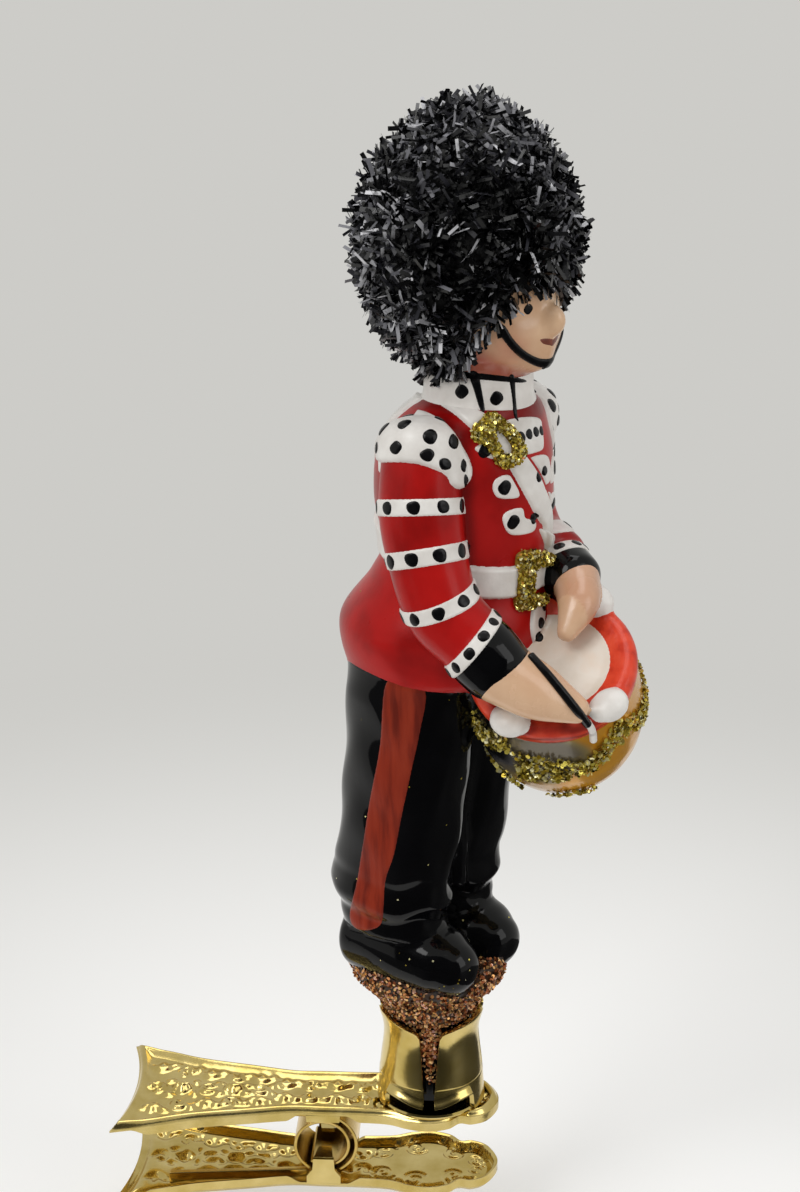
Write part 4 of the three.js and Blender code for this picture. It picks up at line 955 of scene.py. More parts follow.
# Sleeve lace: three places on a band, its width, and the number and the size of its dots.
BANDS = (
    (crop([(130, 384), (235, 383), (340, 379)]), 1.5, 9, 0.62),
    (crop([(150, 546), (260, 532), (368, 512)]), 1.6, 9, 0.66),
    (crop([(228, 719), (320, 692), (403, 634)]), 1.4, 9, 0.6),
    (CUFF_LINE, 1.25, 11, 0.52),
)
SPANS = (("shoulder", "upper"), ("upper", "lower"), ("lower", "elbow"), ("elbow", "wrist"))
for word, mirrored in SIDES:
    sleeve = word + "_sleeve"
    back = arms[word]["shoulder"][0]
    ahead = both(outline(WING, mirrored), either(zone(sleeve), half((back - 1.5, 0, 0), (-1, 0, 0))))
    rear = both(outline(WING, mirrored, back), half((back, 0, 0), (1, 0, 0)),
                lambda sub: zone(sleeve)(sub) - 1.3)
    wing = both(either(ahead, rear), zone(sleeve, "coat"), outside(strap))
    film(word + "_wing_lace", wing, *WING_COAT, WHITE, replaces=[word + "_wing"], layer=True)
    wing_at = wing(shell)
    seen = [flip(spot(p)) if mirrored else spot(p) for p in WING_DOTS]
    places = [p for p in seen if wing_at[corners(p)].max() < -SEEN_INSET]
    for p in [nearest(p * (-1, 1, 1) + (2 * back, 0, 0)) for p in seen]:
        clear = all(np.linalg.norm(p - q) > WING_DOT_GAP for q in places)
        if clear and wing_at[corners(p)].max() < -REAR_INSET:
            places.append(p)
    dots(word + "_wing_dots", places, [WING_DOT] * len(places))
    for i, (line, width, count, size) in enumerate(BANDS):
        middle, normal = across(line, mirrored, SPANS[i][1])
        band = both(slab(middle, normal, width), zone(sleeve, word + "_cuff") if i == 3 else zone(sleeve))
        film(f"{word}_sleeve_lace_{i + 1}", band, *LACE_COAT, WHITE, layer=True)
        start, end = (arms[word][k] for k in SPANS[i])
        axis = start + (end - start) * (((middle - start) @ normal) / ((end - start) @ normal))
        level = unit(np.cross(normal, (0, 0, 1)))
        over = np.cross(normal, level)
        angles = 2 * np.pi * (np.arange(count) + 0.35 + 0.1 * i) / count
        ring = [facing_spot(axis, level * math.cos(t) + over * math.sin(t)) for t in angles]
        ring = [p for p in ring if np.linalg.norm(p - axis) < 1.5 * ARM_RADIUS
                and lies_on(p, sleeve, word + "_cuff")]
        dots(f"{word}_sleeve_dots_{i + 1}", ring, [size] * len(ring), 0.1)

# Chest lace on both sides of the front, the front strip and their dots.
TABS = (
    crop([(494, 140), (512, 118), (592, 113), (606, 150), (609, 202), (590, 216), (552, 223), (530, 205)]),
    crop([(562, 256), (574, 233), (622, 229), (629, 300), (602, 311)]),
    crop([(612, 348), (630, 338), (632, 388), (620, 386)]),
    crop([(458, 322), (470, 296), (510, 288), (538, 346), (502, 356), (470, 350)]),
    crop([(488, 422), (500, 396), (545, 385), (556, 414), (586, 424), (576, 456), (512, 463)]),
    crop([(405, 205), (440, 192), (470, 236), (432, 228)]),
)
on_front = both(zone("coat"), lambda sub: 0.3 - strap(sub), outside(belt))
tabs = [outline(t) for t in TABS] + [outline(t, True) for t in TABS[3:5]]
film("chest_lace", both(either(*tabs), on_front), *LACE_COAT, WHITE, finer=2, layer=True)
chest_dots = spots([(540, 172), (564, 162), (584, 157), (600, 152), (588, 290), (610, 272), (492, 322),
                    (518, 425), (580, 415), (433, 214)])
chest_dots += [flip(p) for p in chest_dots[6:8]]
dots("chest_dots", chest_dots, [0.55, 0.5, 0.5, 0.45, 0.5, 0.5, 0.66, 0.66, 0.5, 0.6, 0.66, 0.66], 0.1)
STRIPS = (
    crop([(598, 448), (620, 455), (645, 488), (657, 560), (652, 612), (632, 604), (626, 540), (610, 482)]),
    crop([(578, 682), (610, 664), (614, 720), (609, 800), (600, 832), (584, 802), (571, 750)]),
)
strips_on_coat = both(patches(STRIPS), zone("coat"))
film("front_strip", strips_on_coat, *STRIP_COAT, WHITE, finer=2, layer=True)
dots("front_strip_dots", spots([(605, 682), (597, 730), (595, 770)]), [0.42, 0.52, 0.52], 0.1)

# Collar with dots, a line along it and two that fall from it.
collar_dots = spots([(290, 965), (365, 995), (470, 1015)], HEAD_CROP)
dots("collar_dots", collar_dots + [flip(p) for p in collar_dots[:2]], [0.5, 0.62, 0.62, 0.5, 0.6])
DRIPS = (crop([(388, 940), (412, 938), (425, 990), (434, 1052), (420, 1046), (405, 1000)], HEAD_CROP),
         crop([(508, 950), (523, 950), (527, 1010), (532, 1080), (522, 1066), (516, 1010)], HEAD_CROP),
         crop([(280, 925), (380, 935), (540, 955), (540, 968), (380, 955), (285, 950)], HEAD_CROP))
drips = both(patches(DRIPS), zone("collar", "coat", "head"))
film("collar_lines", drips, *LINE_COAT, DOT, finer=2)

# Face: strap under the chin, mouth and eyes.
CHIN_STRAP = crop([(468, 800), (492, 796), (520, 838), (556, 874), (600, 896), (640, 894), (662, 880),
                   (660, 902), (630, 922), (588, 918), (540, 892), (500, 852)], HEAD_CROP)
chin_strap = both(either(outline(CHIN_STRAP), outline(CHIN_STRAP, True)), zone("head"))
film("chin_strap", chin_strap, *CHIN_COAT, DOT, finer=2)
MOUTH = crop([(602, 838), (630, 836), (652, 842), (664, 831), (672, 842), (660, 857), (632, 856),
              (610, 851)], HEAD_CROP)
lips = either(both(outline(MOUTH), half((0, 0.2, 0), (0, 1, 0))),
              both(outline(MOUTH, True), half((0, -0.2, 0), (0, -1, 0))))
film("mouth", both(lips, zone("head")), *MOUTH_COAT, LIP, finer=2)
eyes = [facing_spot((FACE_LEAN, y, BROW - 1.4), (1, 0, 0)) for y in (-2.4, 2.4)]
dots("eyes", eyes, [0.46, 0.46], 0.06)

# Trouser stripes.
SEAM = crop([(78, 372), (60, 560), (30, 720), (8, 860), (-8, 960), (-30, 1060), (-15, 1102), (25, 1110),
             (62, 1092), (70, 1040), (76, 960), (102, 880), (126, 760), (152, 640), (178, 520), (196, 398),
             (140, 366)], LEGS_CROP)
for word, mirrored in SIDES:
    stripe = both(outline(SEAM, mirrored), zone(word + "_leg", word + "_boot"))
    film(word + "_trouser_stripe", stripe, *STRIPE_COAT, STRIPE)

# Glitter and tinsel: how many chips or strips there are of each, and the sizes of chips.
FLAKE_SIDES = 6
BUCKLE_FLAKES, BASE_FLAKES, DRUM_FLAKES, PIKE_FLAKES = 900, 5200, 2300, 420
FINE_FLAKES, BASE_SIZES, DRUM_SIZES, SPECK_SIZES = (0.22, 0.42), (0.24, 0.44), (0.26, 0.6), (0.12, 0.22)
SPECKS = {"right_boot": 26, "left_boot": 14, "right_leg": 16, "left_leg": 8, "coat": 8}
CAP_STRIPS, CAP_WISPS, CAP_FRINGE = 6800, 260, 420


def scatter(piece, count, keep):
    """Random places on the kept faces of a piece, with its normals."""
    P, F = piece["P"], piece["F"]
    F = F[keep[F].all(1)]
    n = crosses(P, F)
    area = np.linalg.norm(n, axis=1)
    chosen = rng.choice(len(F), count, p=area / area.sum())
    u, w = rng.random((2, count, 1))
    u, w = np.where(u + w > 1, 1 - u, u), np.where(u + w > 1, 1 - w, w)
    a, b, c = (P[F[chosen, k]] for k in range(3))
    return a + u * (b - a) + w * (c - a), unit(n[chosen])


def aslant(n, spread):
    """Directions about given ones, tipped at random."""
    return unit(n + spread * rng.normal(size=n.shape))


def flakes(name, places, n, low, high, material, spread=0.55, rise=0.12):
    """Glitter: small flat chips lying every way on a surface."""
    count = len(places)
    up = aslant(n, spread)
    one = unit(np.cross(up, rng.normal(size=n.shape)))
    two = np.cross(up, one)
    size = rng.uniform(low, high, (count, 1, 1)) / 2
    a = round_angles(FLAKE_SIDES)[None, :, None]
    centre = places + n * rng.uniform(0.3 * rise, rise, (count, 1))
    ring = centre[:, None] + size * (np.cos(a) * one[:, None] + np.sin(a) * two[:, None])
    faces = np.arange(count * FLAKE_SIDES).reshape(count, FLAKE_SIDES)
    tone = np.repeat(rng.random(count), FLAKE_SIDES)
    make(name, stand(ring.reshape(-1, 3)), faces, material, rounded=False, values={"tone": tone})


# Buckles: gold glitter heaped in open frames.
CHEST_BUCKLE = crop([(393, 152), (418, 124), (455, 103), (492, 124), (522, 160), (542, 196), (536, 238),
                     (500, 264), (470, 252), (452, 222), (428, 192), (402, 182)])
CHEST_EYE = crop([(456, 150), (482, 164), (506, 200), (502, 226), (480, 216), (460, 182)])
WAIST_BUCKLE = crop([(530, 524), (570, 510), (606, 514), (627, 530), (622, 550), (590, 552), (568, 562),
                     (562, 600), (566, 638), (590, 645), (614, 640), (612, 666), (580, 682), (545, 693),
                     (524, 680), (521, 640), (525, 580)])
for word, frame_line in (("chest", both(outline(CHEST_BUCKLE), outside(outline(CHEST_EYE)))),
                         ("waist", outline(WAIST_BUCKLE))):
    heap = film(word + "_buckle_frame", both(frame_line, zone("coat")), *BUCKLE_COAT, GOLD_GLUE, finer=2,
                replaces=[word + "_buckle"])
    places, n = scatter(heap, BUCKLE_FLAKES, heap["s"] < 0)
    flakes(word + "_buckle_glitter", places, n, *FINE_FLAKES, GOLD, spread=0.8)

# Copper glitter under the boots.
places, n = scatter(made["glitter_base"], BASE_FLAKES, made["glitter_base"]["s"] < 0.1)
flakes("base_glitter", places, n, *BASE_SIZES, COPPER, spread=0.6, rise=0.2)

# Gold swags on the drum and stray specks on the boots, the legs and the coat.
SWAG = crop([(366, 538), (396, 524), (440, 556), (500, 578), (560, 588), (620, 596), (668, 590), (712, 556),
             (752, 500), (796, 440), (830, 352), (850, 372), (872, 470), (850, 556), (806, 590), (790, 545),
             (765, 556), (732, 606), (690, 636), (640, 652), (560, 664), (500, 656), (455, 632), (425, 596),
             (392, 566)], LEGS_CROP)
HEM_SWAG = crop([(440, 702), (480, 684), (560, 694), (640, 686), (700, 672), (745, 680), (706, 716),
                 (620, 734), (540, 740), (470, 732)], LEGS_CROP)
drum = made["drum_shell"]
q, around = on_drum(drum["P"])
far, front, near = EARS["far"], EARS["front"], EARS["near"]
around = np.where(around < near, around + 360, around)
share = np.where(around < far, (around - front) / (far - front), (around - far) / (360 + near - far))
SWAG_DROP, SWAG_SAG, SWAG_HALF = 1.3, 4.2, 1.45
hang = -HOOP_WIDTH - SWAG_DROP - SWAG_SAG * np.sin(np.pi * np.clip(share, 0, 1))
swags = (outline(HEM_SWAG)(drum) < 0) | ((outline(SWAG)(drum) < 0) & (around < -15))
swags |= (around > front) & (np.abs(q[:, 2] - hang) < SWAG_HALF)
swags |= np.abs(q[:, 2] + DRUM_DEPTH - 1.4) < 0.8 * smooth(around, 28, 50)
places, n = scatter(drum, DRUM_FLAKES, swags & (drum["s"] < 0))
flakes("drum_glitter", places, n, *DRUM_SIZES, GOLD, spread=0.8, rise=0.4)
for key, count in SPECKS.items():
    places, n = scatter(made[key], count, made[key]["s"] < -0.2)
    flakes(key + "_specks", places, n, *SPECK_SIZES, GOLD, rise=0.03, spread=0.2)

# Bearskin of chopped foil, thick all over, with painted shade darkest at the sides, and hanging in a fringe
# round the face.
PAINTED_SHADE_AT, PAINTED_SHADE_REACH = spot((482, 245)), 5.4
STRIP_HALF, STRIP_BEND = (0.12, 0.22), 0.06
SHADE_POWER, PAINTED_SHADE_POWER = 1.35, 10


def strips(name, places, lean, low, high):
    """Chopped foil: narrow bent strips standing off a surface."""
    count = len(places)
    side = unit(np.cross(lean, rng.normal(size=lean.shape)))
    curl = np.cross(lean, side)
    long, wide = rng.uniform(low, high, (count, 1)), rng.uniform(*STRIP_HALF, (count, 1))
    rows = []
    for t in (0, 0.5, 1):
        middle = places + lean * long * t + curl * long * STRIP_BEND * (t - t * t) * 4
        rows += [middle - side * wide, middle + side * wide]
    points = np.stack(rows, 1).reshape(-1, 3)
    base = 6 * np.arange(count)[:, None]
    faces = np.concatenate([base + [0, 1, 3, 2], base + [2, 3, 5, 4]])
    # Painted shade darkens the strips round a spot on each side of the cap, and painted light lifts those
    # low down a little.
    to_side = (np.stack([places[:, 0], -np.abs(places[:, 1]), places[:, 2]], 1) - PAINTED_SHADE_AT) / PAINTED_SHADE_REACH
    deep = np.exp(-(to_side**2).sum(1) ** 2)
    painted_light_low_down = smooth(-places[:, 2], -CROWN + 6, -CHIN - 2)
    shade = rng.random(count) ** (SHADE_POWER + PAINTED_SHADE_POWER * deep) * (0.98 + 0.04 * painted_light_low_down)
    tone = np.repeat(np.minimum(shade, 1), 6)
    make(name, stand(points), faces, TINSEL, rounded=False, values={"tone": tone})


cap_piece = made["bearskin"]
places, n = scatter(cap_piece, CAP_STRIPS, cap_piece["s"] < -0.2)
flat = unit(np.cross(n, rng.normal(size=n.shape)))
lean = unit(flat + n * rng.uniform(0.08, 0.85, (len(n), 1)) ** 1.4)
strips("bearskin_tinsel", places - n * 0.1 - lean * 0.3, lean, 1.6, 3.1)
places, n = scatter(cap_piece, CAP_WISPS, cap_piece["s"] < -0.4)
strips("bearskin_wisps", places, aslant(n, 0.7), 1.2, 2.6)
rim = (np.abs(cap_piece["s"]) < 0.5) & (cap_piece["P"][:, 2] < BROW + 4)
places, n = scatter(cap_piece, CAP_FRINGE, rim)
down = unit(np.array([0.15, 0, -1]) + 0.5 * n + 0.45 * rng.normal(size=n.shape))
strips("bearskin_fringe", places + n * 0.2, down, 0.9, 2.1)

# Drumstick along the right hand, its pale tip over the hoop.
STICK = spots([(512, 288), (560, 340), (610, 400), (650, 450), (682, 492)], LEGS_CROP)
TIP = spots([(682, 486), (696, 510), (700, 540)], LEGS_CROP)
for name, line, thick, material, node in (
        ("drumstick_shaft", STICK, 0.42, DOT, ["drumstick"]), ("drumstick_tip", TIP, 0.36, WHITE, [])):
    skin = limb([(p + unit(unstand(EYE) - p) * 0.1, thick, thick) for p in line], DRUM_UP, 20, 8)
    make(name, stand(skin[0]), skin[1], material, node)


# Clip: stamped plates with a beaded edge and leaves, in part millimetres.
EDGE_STEPS, TIP_STEPS, FIELD_STEPS = 350, 70, 71
# Scrolls on one half of a jaw: place, size and hand.
SCROLLS = ((2.6, 2.1, 1.5, 1), (-1.6, 3, 1.3, -1), (-5, 1.9, 1.4, 1), (4.9, 0.9, 0.9, -1))


def plate_edge(count):
    """Half outline of a jaw from the end of its handle to its tip."""
    knots = np.array([
        (-HANDLE_REACH, HANDLE_HALF), (-0.87 * HANDLE_REACH, HANDLE_HALF - 1.2),
        (-0.75 * HANDLE_REACH, (HANDLE_HALF + WAIST_HALF) / 2 - 0.3),
        (-0.58 * HANDLE_REACH, WAIST_HALF + 0.8), (-BARREL_BACK - EAR_WIDTH, WAIST_HALF),
        (-BARREL_BACK, WAIST_HALF), (-BARREL_BACK + EAR_WIDTH, WAIST_HALF),
        (-0.6 * JAW_REACH, WAIST_HALF + 0.2), (-0.3 * JAW_REACH, LOBE_HALF - 0.3), (0, LOBE_HALF),
        (0.28 * JAW_REACH, LOBE_HALF - 0.6), (0.44 * JAW_REACH, TIP_HALF),
        (0.62 * JAW_REACH, TIP_HALF + 0.1), (0.85 * JAW_REACH, TIP_HALF - 0.9), (JAW_REACH, 0)])
    p = np.concatenate([knots[:1], knots, knots[-2:-1] * (1, -1)])
    line = []
    last = len(knots) - 1
    for t in np.concatenate([
            np.linspace(0, last - 2, count - TIP_STEPS), np.linspace(last - 2, last, TIP_STEPS + 1)[1:]]):
        i = min(int(t), len(knots) - 2)
        w = t - i
        a, b, c, d = p[i:i + 4]
        m, n = (c - a) / 2, (d - b) / 2
        line.append(hermite(b, c, m, n, w))
    return np.array(line)


def bump(x, y, at, size, tall, long=1.0, angle=0.0):
    """Raised spot, drawn out along an angle where it is longer than wide."""
    u = (x - at[0]) * math.cos(angle) + (y - at[1]) * math.sin(angle)
    w = (y - at[1]) * math.cos(angle) - (x - at[0]) * math.sin(angle)
    return tall * np.exp(-((u / long) ** 2 + w**2) / size**2)


def stamping(x, y, d, edge):
    """Relief of a plate: a bead, a sunk field, rings and leaf fans on the handle, scrolls on the jaw."""
    bead = 0.34 + 0.14 * smooth(-x, 29.5, 32)
    e = bead * bell((d - 0.62) / 0.36) - 0.2 * smooth(d, 0.9, 1.7)
    for i, at in enumerate(np.arange(-29.3, -6.9, 2.75)):
        room = np.interp(at, edge[:, 0], edge[:, 1]) - 1.7
        rows = ((0, 0.95), (0.68, 0.8)) if room > 2.9 else ((0.52, 0.78),)
        for k, (row, big) in enumerate(rows):
            for side in (-1, 1):
                at_y, way = side * row * room, side * (0.8 + 1.3 * i)
                if (i + k) % 2 == 0 and (row or side > 0):
                    u, w = x - at, y - at_y
                    opened = smooth(np.cos(np.arctan2(w, u) - way), -1, -0.6)
                    e = e + 0.4 * bell((np.hypot(u, w) - 0.72 * big) / 0.33) * opened
                elif (i + k) % 2:
                    for fan in (-1, 0, 1):
                        leaf = (at + 0.55 * fan, at_y + side * (0.3 - 0.42 * abs(fan)))
                        e = e + bump(x, y, leaf, 0.36, 0.42, 1.8, side * (1.57 - 0.75 * fan))
                link = (at + 1.37, side * (row + 0.28) * 0.8 * room)
                e = e + bump(x, y, link, 0.38, 0.36, 1.5, side * (0.4 + i))
    t = np.linspace(0, 1, 90)
    for cx, cy, big, hand in SCROLLS:
        for side in (-1, 1):
            a = hand * side * (0.6 + 9.5 * t)
            sx, sy = cx + big * (1 - 0.85 * t) * np.cos(a), side * cy + big * (1 - 0.85 * t) * np.sin(a)
            near = ((x[..., None] - sx) ** 2 + (y[..., None] - sy) ** 2).min(-1)
            e = e + 0.2 * np.exp(-near / 0.2**2) * smooth(d, 0.5, 0.9)
    return e


def prism(face, by):
    """Closed block from one flat face, as a list of corners, pushed along a vector."""
    face = np.asarray(face, float)
    count = len(face)
    points = np.concatenate([face, face + by])
    faces = [list(range(count))[::-1], list(range(count, 2 * count))]
    faces += [[i, (i + 1) % count, count + (i + 1) % count, count + i] for i in range(count)]
    return points, faces


def plate(name, node, sign, body):
    """Stamped sheet with a bead, turned-in edges, and ears and tongues that hold the coil."""
    edge = plate_edge(EDGE_STEPS)
    wide = edge[:, 1:2]
    rim = np.array([0, 0.1, 0.22, 0.36, 0.5, 0.64, 0.78, 0.95, 1.2, 1.6]) * np.minimum(1, wide / 4)
    outer = wide - rim
    field = outer[:, -1:] * np.linspace(1, -1, FIELD_STEPS)[1:-1]
    y = np.concatenate([outer, field, -outer[:, ::-1]], 1)
    share = np.where(wide > 0.01, y / np.maximum(wide, 0.01), 0)
    x = edge[:, :1] + HANDLE_HOLLOW * (1 - share**2) * smooth(-edge[:, :1], 24, HANDLE_REACH)
    bound = np.concatenate([np.c_[x[:, 0], y[:, 0]], np.c_[x[:, -1], y[:, -1]], np.c_[x[0], y[0]]])
    d = np.concatenate([
        np.sqrt(((x[i, :, None] - bound[:, 0]) ** 2 + (y[i, :, None] - bound[:, 1]) ** 2).min(1))[None]
        for i in range(len(x))])
    e = stamping(x, y, d, edge)
    handle = smooth(-x, BARREL_BACK + 2.4, BARREL_BACK + 4)
    handle = handle * smooth(x, -0.94 * HANDLE_REACH, -0.88 * HANDLE_REACH)
    jaw = smooth(x, -BARREL_BACK + 2.4, -BARREL_BACK + 4)
    skirt = (HANDLE_FLANGE * handle + (SHEET_IN - GRIPPED / 2 - 0.18) * jaw) * (1 - smooth(d, 0.4, 0.5))
    rounding = 0.25 * bell(d / 0.22)
    top = np.stack([x, y, sign * (SHEET_OUT + e - rounding)], -1)
    under = np.stack([x, y, sign * (SHEET_IN + 0.75 * e - skirt)], -1)
    rows, cols = x.shape
    grid = np.arange(rows * cols).reshape(rows, cols)
    quad = lambda g: np.stack([g[:-1, :-1], g[1:, :-1], g[1:, 1:], g[:-1, 1:]], -1).reshape(-1, 4)
    low = grid + rows * cols
    loop = np.concatenate([grid[:, 0], grid[-1, 1:], grid[::-1, -1][1:], grid[0, ::-1][1:-1]])
    ring = np.stack([loop, np.roll(loop, -1), np.roll(loop, -1) + rows * cols, loop + rows * cols], -1)
    faces = np.concatenate([quad(grid), quad(low)[:, ::-1], ring]).tolist()
    points = [top.reshape(-1, 3), under.reshape(-1, 3)]
    base = 2 * rows * cols
    for side in (-1, 1):
        out = side * WAIST_HALF
        hooked = sign < 0 or side > 0
        lower = ((-1, 3.3), (-0.66, 2.5), (-0.6, TONGUE_TOP - 0.3),
                 (0.6, TONGUE_TOP - 0.3), (0.66, 2.5), (1, 3.3))
        if not hooked:
            lower = ((-0.96, SHEET_IN - TAB_DROP), (0.96, SHEET_IN - TAB_DROP))
        lug = [(-BARREL_BACK + a * EAR_WIDTH / 2, out, sign * z)
               for a, z in ((-1, SHEET_IN), *lower, (1, SHEET_IN))]
        tongue = [(-BARREL_BACK + a * TONGUE_WIDTH, side * (WAIST_HALF - b), sign * TONGUE_TOP)
                  for a, b in ((-0.5, 0.2), (-0.34, TONGUE_RUN), (0.34, TONGUE_RUN), (0.5, 0.2))]
        blocks = [(lug, (0, -side * SHEET, 0))] + [(tongue, (0, 0, -sign * SHEET))] * hooked
        for block, by in blocks:
            p, f = prism(block, by)
            points.append(p)
            faces += [[i + base for i in g] for g in f]
            base += len(p)
    weld(make(name, np.concatenate(points), faces, GILT, [node], body))


def weld(obj, sharp=40):
    """Joins coincident corners, turns faces out and marks sharp edges."""
    work = bmesh.new()
    work.from_mesh(obj.data)
    bmesh.ops.remove_doubles(work, verts=work.verts, dist=1e-6)
    bmesh.ops.recalc_face_normals(work, faces=work.faces)
    for e in work.edges:
        if len(e.link_faces) == 2 and e.calc_face_angle(0) > math.radians(sharp):
            e.smooth = False
    work.to_mesh(obj.data)
    work.free()
    return obj


def bevel(obj, millimetres, segments, degrees):
    edge = obj.modifiers.new("edge", "BEVEL")
    edge.width, edge.segments = millimetres / 1000, segments
    edge.limit_method, edge.angle_limit = "ANGLE", math.radians(degrees)


plate("upper_plate", "upper_jaw", 1, FIGURE)
plate("lower_plate", "lower_jaw", -1, LOWER)


def coil():
    """Spring strip: a leg under the upper handle running into a coil round the hinge."""
    mid, pitch, wide = SHEET_IN - FIT_GAP - STRIP / 2, STRIP + COIL_GAP, WAIST_HALF - SHEET - HINGE_GAP
    turns = np.linspace(0, COIL_TURNS, 180)
    radius, a = mid - pitch * turns, np.pi / 2 - 2 * np.pi * turns
    line = np.stack([-BARREL_BACK + radius * np.cos(a), radius * np.sin(a)], -1)
    leg = np.stack([np.linspace(-BARREL_BACK - LEG_RUN, -BARREL_BACK, 14)[:-1], np.full(13, mid)], -1)
    line = np.concatenate([leg, line])
    along = unit(np.gradient(line, axis=0))
    out = np.stack([-along[:, 1], along[:, 0]], -1) * STRIP / 2
    rings = []
    for p, o in zip(line, out):
        rings.append([(p[0] + s * o[0], t * wide, p[1] + s * o[1])
                      for s, t in ((1, 1), (1, -1), (-1, -1), (-1, 1))])
    bevel(weld(make("spring_coil", *closed(rings), SPRING, ["coil_spring"])), 0.07, 2, 50)


def spring_leg():
    """Lower leg of the spring: a bar that lies on the lower plate and runs out from the tongue."""
    foot, root, half_width = np.array([-27.6, -4.5]), np.array([-12.7, -2.5]), 0.28
    across_bar = half_width * unit(np.array([-(root - foot)[1], (root - foot)[0]]))
    rings = []
    for t in np.linspace(0, 1, 24):
        c, thick = foot + t * (root - foot), 1.25 - 0.3 * t
        low = -SHEET_IN - 0.06
        rings.append([(*(c + s * across_bar), low + thick * h)
                      for s, h in ((1, 0), (1, 1), (-1, 1), (-1, 0))])
    bevel(weld(make("spring_leg", *closed(rings), SPRING, (), LOWER)), 0.12, 3, 50)


coil()
spring_leg()


def holder():
    """Sprung tube slit into four petals, flared at its root and rolled at its lips."""
    foot = HOLDER_FLOOR + HOLDER_WINDOW
    split_at = foot + 1
    heights = HOLDER_BASE + np.array([0, 0.35, 0.8, 1]) * HOLDER_HEIGHT
    sizes = HOLDER_IN + SHEET + np.array([HOLDER_ROOT_FLARE, 0.6 * HOLDER_ROOT_FLARE, 0, HOLDER_LIP_FLARE])
    curve = spline(np.c_[heights, sizes, 0 * sizes], np.linspace(0, 1, 80))

    def radius(z):
        lip = 0.15 * bell((z - HOLDER_TOP - 0.6) / 0.6)
        return np.interp(z, curve[:, 0], curve[:, 1]) + lip

    def slit(z):
        up = np.clip((z - foot) / (HOLDER_TOP + 1 - foot), 0, 1)
        return (HOLDER_SLIT + (0.8 * HOLDER_SLIT_TOP - HOLDER_SLIT) * up) / 2 / HOLDER_IN

    def sheet(phi, z, flare=0):
        r = radius(z) + flare
        return np.stack([r * np.sin(phi), -r * np.cos(phi), z], -1)

    def corner(t):
        return 1 - np.sqrt(1 - (1 - np.clip(t, 0, 1)) ** 2)

    points, faces, base = [], [], 0
    quarter = np.linspace(0, 1, 34)
    gap = HOLDER_SLIT / 2 / HOLDER_IN
    for side in (-1, 1):
        rows = np.linspace(0, 1, 40)[:, None]
        grids = []
        for start, end in ((0, np.pi / 2 - gap), (np.pi, np.pi / 2 + gap)):
            run = np.abs(quarter * (end - start)) * HOLDER_IN
            drop = 1.1 * (1 - np.clip(run / 4.2, 0,
                                      1)) + 0.5 * corner(run / 0.6) + 0.4 * corner(run[::-1] / 0.6)
            z = split_at + rows * (HOLDER_TOP + 0.6 - drop - split_at)
            opened = start + np.sign(end - start) * slit(z)
            phi = opened + quarter * (end - opened)
            grids.append(sheet(side * phi, z))
        low_rows = np.linspace(0, 1, 14)[:, None]
        bottom_front = np.linspace(0, np.pi, 90)
        off = np.minimum(bottom_front, np.pi - bottom_front)
        rise = smooth(off, 0.8, 0.95)
        dip = 0.8 * bell(off / 0.42)
        bottom = foot - dip + (HOLDER_BASE + 0.1 - foot) * rise
        z = bottom + low_rows * (split_at - bottom)
        opened = slit(z)
        phi = opened + (np.pi - 2 * opened) * bottom_front / np.pi
        flare = 0.5 * bell((z - bottom) / 0.55) * (1 - rise)
        grids.append(sheet(side * phi, z, flare))
        for g in grids:
            r, c = g.shape[:2]
            i = np.arange(r * c).reshape(r, c) + base
            faces += np.stack([i[:-1, :-1], i[:-1, 1:], i[1:, 1:], i[1:, :-1]], -1).reshape(-1, 4).tolist()
            points.append(g.reshape(-1, 3))
            base += r * c
    obj = weld(make("holder_petals", np.concatenate(points), faces, GILT, ["pike_holder"]), 60)
    thick = obj.modifiers.new("sheet", "SOLIDIFY")
    thick.thickness, thick.offset = SHEET / 1000, -1
    bevel(obj, 0.1, 2, 60)
    floor_radius = HOLDER_IN + HOLDER_ROOT_FLARE + SHEET / 2
    disc = turned([(1.5, HOLDER_BASE), (floor_radius - 0.1, HOLDER_BASE),
                   (floor_radius, HOLDER_BASE + SHEET / 2), (floor_radius - 0.1, HOLDER_FLOOR),
                   (1.5, HOLDER_FLOOR)])
    weld(make("holder_floor", *disc, GILT))


holder()
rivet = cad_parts["holder_rivet"].data
rivet.materials.clear()
rivet.materials.append(GILT)

# Pike: the open glass neck inside the holder, with copper glitter down its front.
neck = HOLDER_TOP - SHEET_IN - 0.5
top = BASE_FOOT + 0.5
tube = turned([
    (PIKE_RADIUS - GLASS_WALL, PIKE_FOOT), (PIKE_RADIUS, PIKE_FOOT),
    (PIKE_RADIUS, 0.5 * (PIKE_FOOT + neck)), (PIKE_RADIUS, neck), (1.03 * PIKE_RADIUS, 0.5 * (neck + top)),
    (PIKE_RADIUS, top), (PIKE_RADIUS - GLASS_WALL, top), (PIKE_RADIUS - GLASS_WALL, neck),
    (PIKE_RADIUS - GLASS_WALL, PIKE_FOOT)])
weld(make("pike_neck", stand(tube[0]), tube[1], BLACK, ["pike"]))
front = unit(np.array([0, -1, 0]) @ FIGURE_TURN)
side = np.cross((0, 0, 1), front)
z = rng.triangular(PIKE_FOOT + 1.5, BASE_FOOT + 0.2, BASE_FOOT + 0.3, PIKE_FLAKES)
share = (z - PIKE_FOOT) / (BASE_FOOT - PIKE_FOOT)
a = rng.normal(size=PIKE_FLAKES) * (0.05 + 0.3 * share**3)
out = np.cos(a)[:, None] * front + np.sin(a)[:, None] * side
radius = PIKE_RADIUS * (1 + 0.04 * smooth(z, neck, top))
flakes("pike_glitter", out * radius[:, None] + np.c_[0 * z, 0 * z, z], out, *FINE_FLAKES, COPPER)

